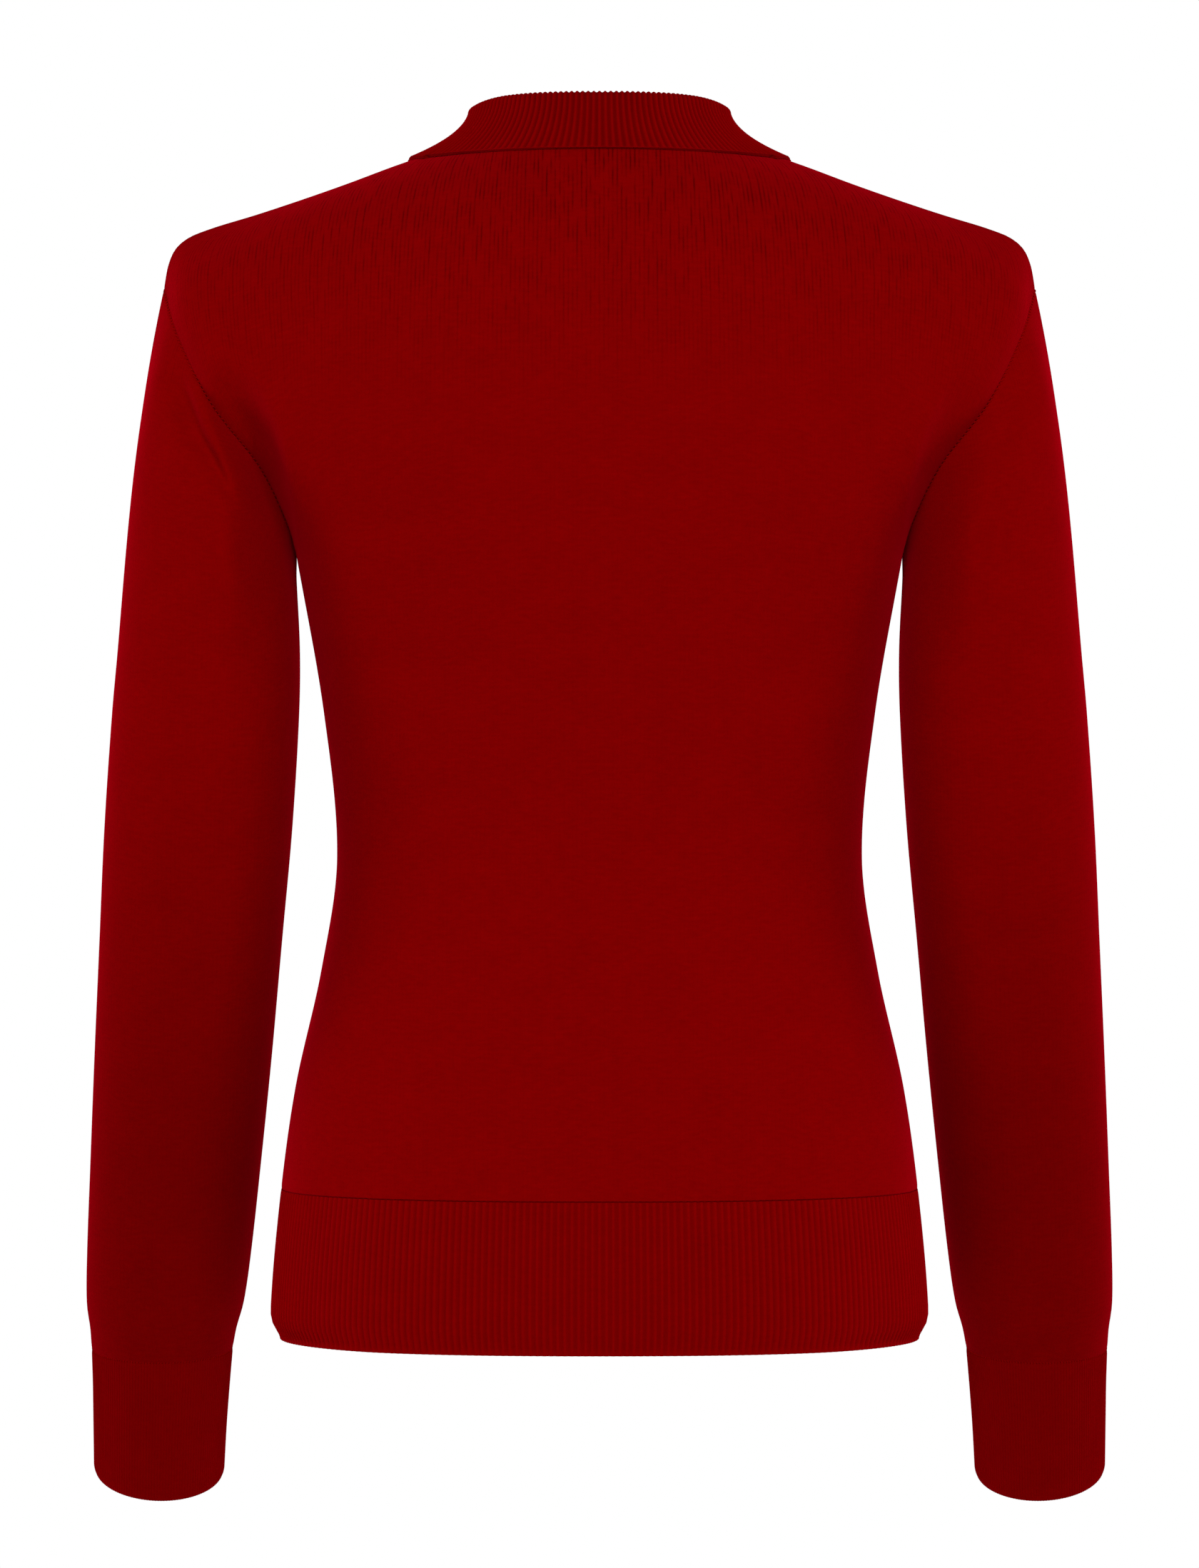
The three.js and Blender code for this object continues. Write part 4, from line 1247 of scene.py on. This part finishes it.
def knit_material(name, colour, wale, course, relief, flecks=0.17, yoke_painted_shade=0, forearm_painted_shade=0, rib_painted_shade=0):
    """Knitted cloth: the width of a column of stitches and the height of one, in millimetres.
    Its last three arguments are painted shade in the colour: they darken the lines between the columns on the
    yoke, the forearms, and the grooves between the ribs."""
    material, tree, shader = new_material(name)
    place = add_node(tree, "ShaderNodeUVMap", uv_map="cloth").outputs[0]
    object_place = add_node(tree, "ShaderNodeTexCoord").outputs["Object"]
    level = add_node(tree, "ShaderNodeSeparateXYZ", {0: object_place}).outputs[2]
    leg, groove = stitch_shape(tree, place, wale, course)
    clear = yoke_lines(tree, place, level)
    height = maths(tree, "SUBTRACT", leg, groove)
    height = maths(tree, "MULTIPLY", height, maths(tree, "ADD", maths(tree, "MULTIPLY", clear, 0.8), 0.2))

    # flecks of the mixed yarn, long across the columns, and larger soft clouds
    fleck, cloud = grain(tree, place, (190, 620, 1), 3), grain(tree, place, (45, 70, 1), 3)
    shade = maths(tree, "MULTIPLY", maths(tree, "SUBTRACT", fleck, 0.5), 2 * flecks)
    shade = maths(tree, "ADD", shade, maths(tree, "MULTIPLY", maths(tree, "SUBTRACT", cloud, 0.5), 0.16))

    # painted shade in the grooves between the columns, most of all on the yoke
    depth = maths(tree, "ADD", maths(tree, "MULTIPLY", clear, yoke_painted_shade), GROOVE_PAINTED_SHADE)
    shade = maths(tree, "SUBTRACT", shade, maths(tree, "MULTIPLY", groove, depth))
    shade = maths(tree, "ADD", shade, 1)

    # painted shade on the forearms, and in the grooves between the ribs
    shade = maths(tree, "MULTIPLY", shade, spread(tree, level, -0.28, -0.5, 1, 1 - forearm_painted_shade))
    rib_top = add_node(tree, "ShaderNodeAttribute", attribute_name="rib_top").outputs["Fac"]
    in_groove = maths(tree, "MULTIPLY", maths(tree, "SUBTRACT", 1, rib_top), rib_painted_shade)
    shade = maths(tree, "MULTIPLY", shade, maths(tree, "SUBTRACT", 1, in_groove))

    tinted = add_node(tree, "ShaderNodeVectorMath", {0: colour, 1: shade}, operation="MULTIPLY")
    bump = add_node(tree, "ShaderNodeBump", {"Strength": 1.0, "Distance": relief * MM, "Height": height})
    fuzz = maths(tree, "ADD", maths(tree, "MULTIPLY", fleck, 0.12), 0.82)
    tree.links.new(tinted.outputs[0], shader.inputs["Base Color"])
    tree.links.new(fuzz, shader.inputs["Roughness"])
    tree.links.new(bump.outputs[0], shader.inputs["Normal"])
    shader.inputs["Specular IOR Level"].default_value = 0.0
    shader.inputs["Sheen Weight"].default_value = SHEEN
    shader.inputs["Sheen Roughness"].default_value = 0.45
    shader.inputs["Sheen Tint"].default_value = SHEEN_TINT
    return material


# %% [markdown]
# ### The shirt's cloths
# The body's columns are 2.1 mm wide, as they measure on the yoke of the photograph, and the ribs have
# finer stitches of their own. The collar's grooves get the most painted shade, as they look in the photograph.
# The sleeves are the body's knit with painted shade on the forearms, and the cuffs below them are darkened
# with painted shade too.

# %% Cloth materials
WOOL = (0.225, 0.0003, 0.0004)


def wool_scaled(share):
    """The wool's colour made lighter or darker."""
    return [c * share for c in WOOL]


# the plain knit has painted shade on the lines between the columns of the yoke
plain = {"wale": 2.1, "course": 1.3, "relief": 0.16, "yoke_painted_shade": 0.6}
plain_knit = knit_material("plain_knit", WOOL, **plain)
# the sleeves' forearms are darkened with painted shade, more towards the cuff
sleeve_knit = knit_material("sleeve_knit", WOOL, **plain, forearm_painted_shade=0.24)
# the grooves between the ribs of the hem, the collar and the cuffs are darkened with painted shade
hem_rib = knit_material("hem_rib", wool_scaled(1.06), 1.6, 1.3, relief=0.05, flecks=0.1, rib_painted_shade=0.22)
collar_rib = knit_material("collar_rib", WOOL, 1.5, 1.3, relief=0.05, flecks=0.08, rib_painted_shade=0.4)
# the cuffs' colour is darkened with painted shade, as the forearms are
cuff_rib = knit_material("cuff_rib", wool_scaled(0.85), 1.45, 1.2, relief=0.07, flecks=0.1, rib_painted_shade=0.06)
print("cloth materials:", [m.name for m in (plain_knit, sleeve_knit, hem_rib, collar_rib, cuff_rib)])

# %% [markdown]
# ### Buttons and thread
# The buttons are polished plastic in the shirt's red, a little darker, with faint cloudy streaks in it.
# The thread is twisted, which shows as slanted bands along it: a bump, and painted light and shade on its
# strands.


# %% Button materials
def plastic_material():
    """Polished plastic with faint clouds in its colour and in its gloss."""
    material, tree, shader = new_material("button_plastic")
    place = add_node(tree, "ShaderNodeTexCoord").outputs["Object"]
    clouds = {"Vector": place, "Scale": 260, "Detail": 3, "Distortion": 1.2}
    ramp = add_node(tree, "ShaderNodeValToRGB", {0: add_node(tree, "ShaderNodeTexNoise", clouds).outputs[0]})
    ramp.color_ramp.elements[0].color = (0.12, 0.001, 0.0015, 1)
    ramp.color_ramp.elements[1].color = (0.2, 0.002, 0.003, 1)
    worn = add_node(tree, "ShaderNodeTexNoise", {"Vector": place, "Scale": 1400, "Detail": 2})
    gloss = maths(tree, "ADD", maths(tree, "MULTIPLY", worn.outputs[0], 0.18), 0.2)
    tree.links.new(ramp.outputs[0], shader.inputs["Base Color"])
    tree.links.new(gloss, shader.inputs["Roughness"])
    shader.inputs["Specular IOR Level"].default_value = 0.25
    return material


def thread_material(name, light, dark):
    """Twisted thread: a bump, and its strands as bands of painted light and shade."""
    material, tree, shader = new_material(name)
    place = add_node(tree, "ShaderNodeTexCoord").outputs["Object"]
    twist = add_node(tree, "ShaderNodeTexWave", {"Vector": place, "Scale": 1500, "Distortion": 0.5})
    ramp = add_node(tree, "ShaderNodeValToRGB", {0: twist.outputs[1]})
    ramp.color_ramp.elements[0].color = (dark, 0.0005, 0.0005, 1)
    ramp.color_ramp.elements[1].color = (light, 0.0005, 0.0005, 1)
    bump = add_node(tree, "ShaderNodeBump", {"Distance": 0.0001, "Height": twist.outputs[1]})
    tree.links.new(ramp.outputs[0], shader.inputs["Base Color"])
    tree.links.new(bump.outputs[0], shader.inputs["Normal"])
    shader.inputs["Roughness"].default_value = 0.85
    shader.inputs["Specular IOR Level"].default_value = 0.0
    return material


button_plastic, button_thread = plastic_material(), thread_material("button_thread", 0.2, 0.1)
# the seam yarn is lighter than the wool: a painted highlight where the loops catch the light
seam_yarn = thread_material("seam_yarn", 0.38, 0.27)

# %% [markdown]
# ## Which piece is what
# Every new piece gets its material, moves with the imported model's one body, and takes the place of its own
# node of the imported model, which is hidden.

# %% Pieces, nodes and cuts
# Each piece: its node, its slot, its material, its cut's width, length and area in metres
PIECES = [
    (back_panel, "back_panel", "knit", plain_knit, 0.43, 0.56, 0.19),
    (front_panel, "front_panel", "knit", plain_knit, 0.45, 0.53, 0.185),
    (hem_bands[0], "hem_band_back", "rib", hem_rib, 0.455, 0.073, None),
    (hem_bands[1], "hem_band_front", "rib", hem_rib, 0.44, 0.073, None),
    (sleeves[0], "sleeve_left", "knit", sleeve_knit, 0.34, 0.54, 0.135),
    (sleeves[1], "sleeve_right", "knit", sleeve_knit, 0.34, 0.54, 0.135),
    (cuffs[0], "cuff_left", "rib", cuff_rib, 0.215, 0.067, None),
    (cuffs[1], "cuff_right", "rib", cuff_rib, 0.215, 0.067, None),
    (collar, "collar", "rib", collar_rib, 0.50, 0.085, 0.033),
    (button_band, "button_band", "rib", hem_rib, 0.028, 0.120, None),
    (buttonhole_band, "buttonhole_band", "rib", hem_rib, 0.031, 0.128, None),
]
for piece, node, slot, material, width, length, area in PIECES:
    piece.data.materials.append(material)
    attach(piece, "root")
    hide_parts(node)
for stitch in stitches:
    stitch.data.materials.append(seam_yarn)
    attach(stitch, "root")
for disc, thread, node in zip(buttons, threads, ("button_1", "button_2", "button_3")):
    disc.data.materials.append(button_plastic)
    thread.data.materials.append(button_thread)
    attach(disc, "root")
    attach(thread, "root")
    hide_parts(node)

# %% [markdown]
# ## Light and surroundings
# The photograph is a studio picture on white: even light from all round, a little more of it from above
# and behind the camera, and less from below. A large soft light above the camera does most of it. One in
# front and two at the sides fill in, and a dim pale world lifts what is left. The camera sees the world
# as plain white, and a pale floor lies far below, out of the picture.

# %% World
world = bpy.data.worlds.new("studio")
bpy.context.scene.world = world
world.use_nodes = True
sky = world.node_tree
sky.nodes.clear()
direction = add_node(sky, "ShaderNodeTexCoord").outputs["Generated"]
height = add_node(sky, "ShaderNodeSeparateXYZ", {0: direction}).outputs[2]
level = spread(sky, height, -0.8, 0.8, 0.15, 0.2)
light_sky = add_node(sky, "ShaderNodeBackground", {"Color": (1, 1, 1, 1), "Strength": level})
seen_sky = add_node(sky, "ShaderNodeBackground", {"Color": (1, 1, 1, 1), "Strength": 1.0})
to_camera = add_node(sky, "ShaderNodeLightPath").outputs["Is Camera Ray"]
both = add_node(sky, "ShaderNodeMixShader", {0: to_camera, 1: light_sky.outputs[0], 2: seen_sky.outputs[0]})
add_node(sky, "ShaderNodeOutputWorld", {"Surface": both.outputs[0]})


# %% Lights and floor
def soft_light(name, place, aim, size, power):
    """A round soft light: where it is and aims, how wide it is in metres, and its watts."""
    turn = (Vector(aim) - Vector(place)).to_track_quat("-Z", "Y").to_euler()
    bpy.ops.object.light_add(type="AREA", location=place, rotation=turn)
    light = bpy.context.object
    light.name = name
    light.data.shape = "DISK"
    light.data.size = size
    light.data.energy = power
    light.visible_camera = False


SHIRT_MIDDLE = (0, 0, -0.3)
soft_light("key", (-0.1, 2.95, 1.15), SHIRT_MIDDLE, 1.6, 70)
soft_light("front_fill", (0.6, -2.8, 0.3), SHIRT_MIDDLE, 1.8, 30)
soft_light("side_left", (2.6, -0.5, 0.1), SHIRT_MIDDLE, 1.4, 25)
soft_light("side_right", (-2.6, -0.5, 0.1), SHIRT_MIDDLE, 1.4, 25)

FLOOR_BELOW = -1.35
deselect()
bpy.ops.mesh.primitive_circle_add(vertices=96, radius=2.6, fill_type="NGON", location=(0, 0, FLOOR_BELOW))
floor = bpy.context.object
floor.name = "floor"
floor_material, floor_tree, floor_shader = new_material("pale_floor")
floor_place = add_node(floor_tree, "ShaderNodeTexCoord").outputs["Object"]
floor_noise = add_node(floor_tree, "ShaderNodeTexNoise", {"Vector": floor_place, "Scale": 3, "Detail": 2})
floor_ramp = add_node(floor_tree, "ShaderNodeValToRGB", {0: floor_noise.outputs[0]})
floor_ramp.color_ramp.elements[0].color = (0.78, 0.78, 0.78, 1)
floor_ramp.color_ramp.elements[1].color = (0.84, 0.84, 0.84, 1)
floor_tree.links.new(floor_ramp.outputs[0], floor_shader.inputs["Base Color"])
floor_shader.inputs["Roughness"].default_value = 0.7
floor.data.materials.append(floor_material)

bpy.context.scene.view_settings.view_transform = "Standard"
bpy.context.scene.view_settings.look = "None"
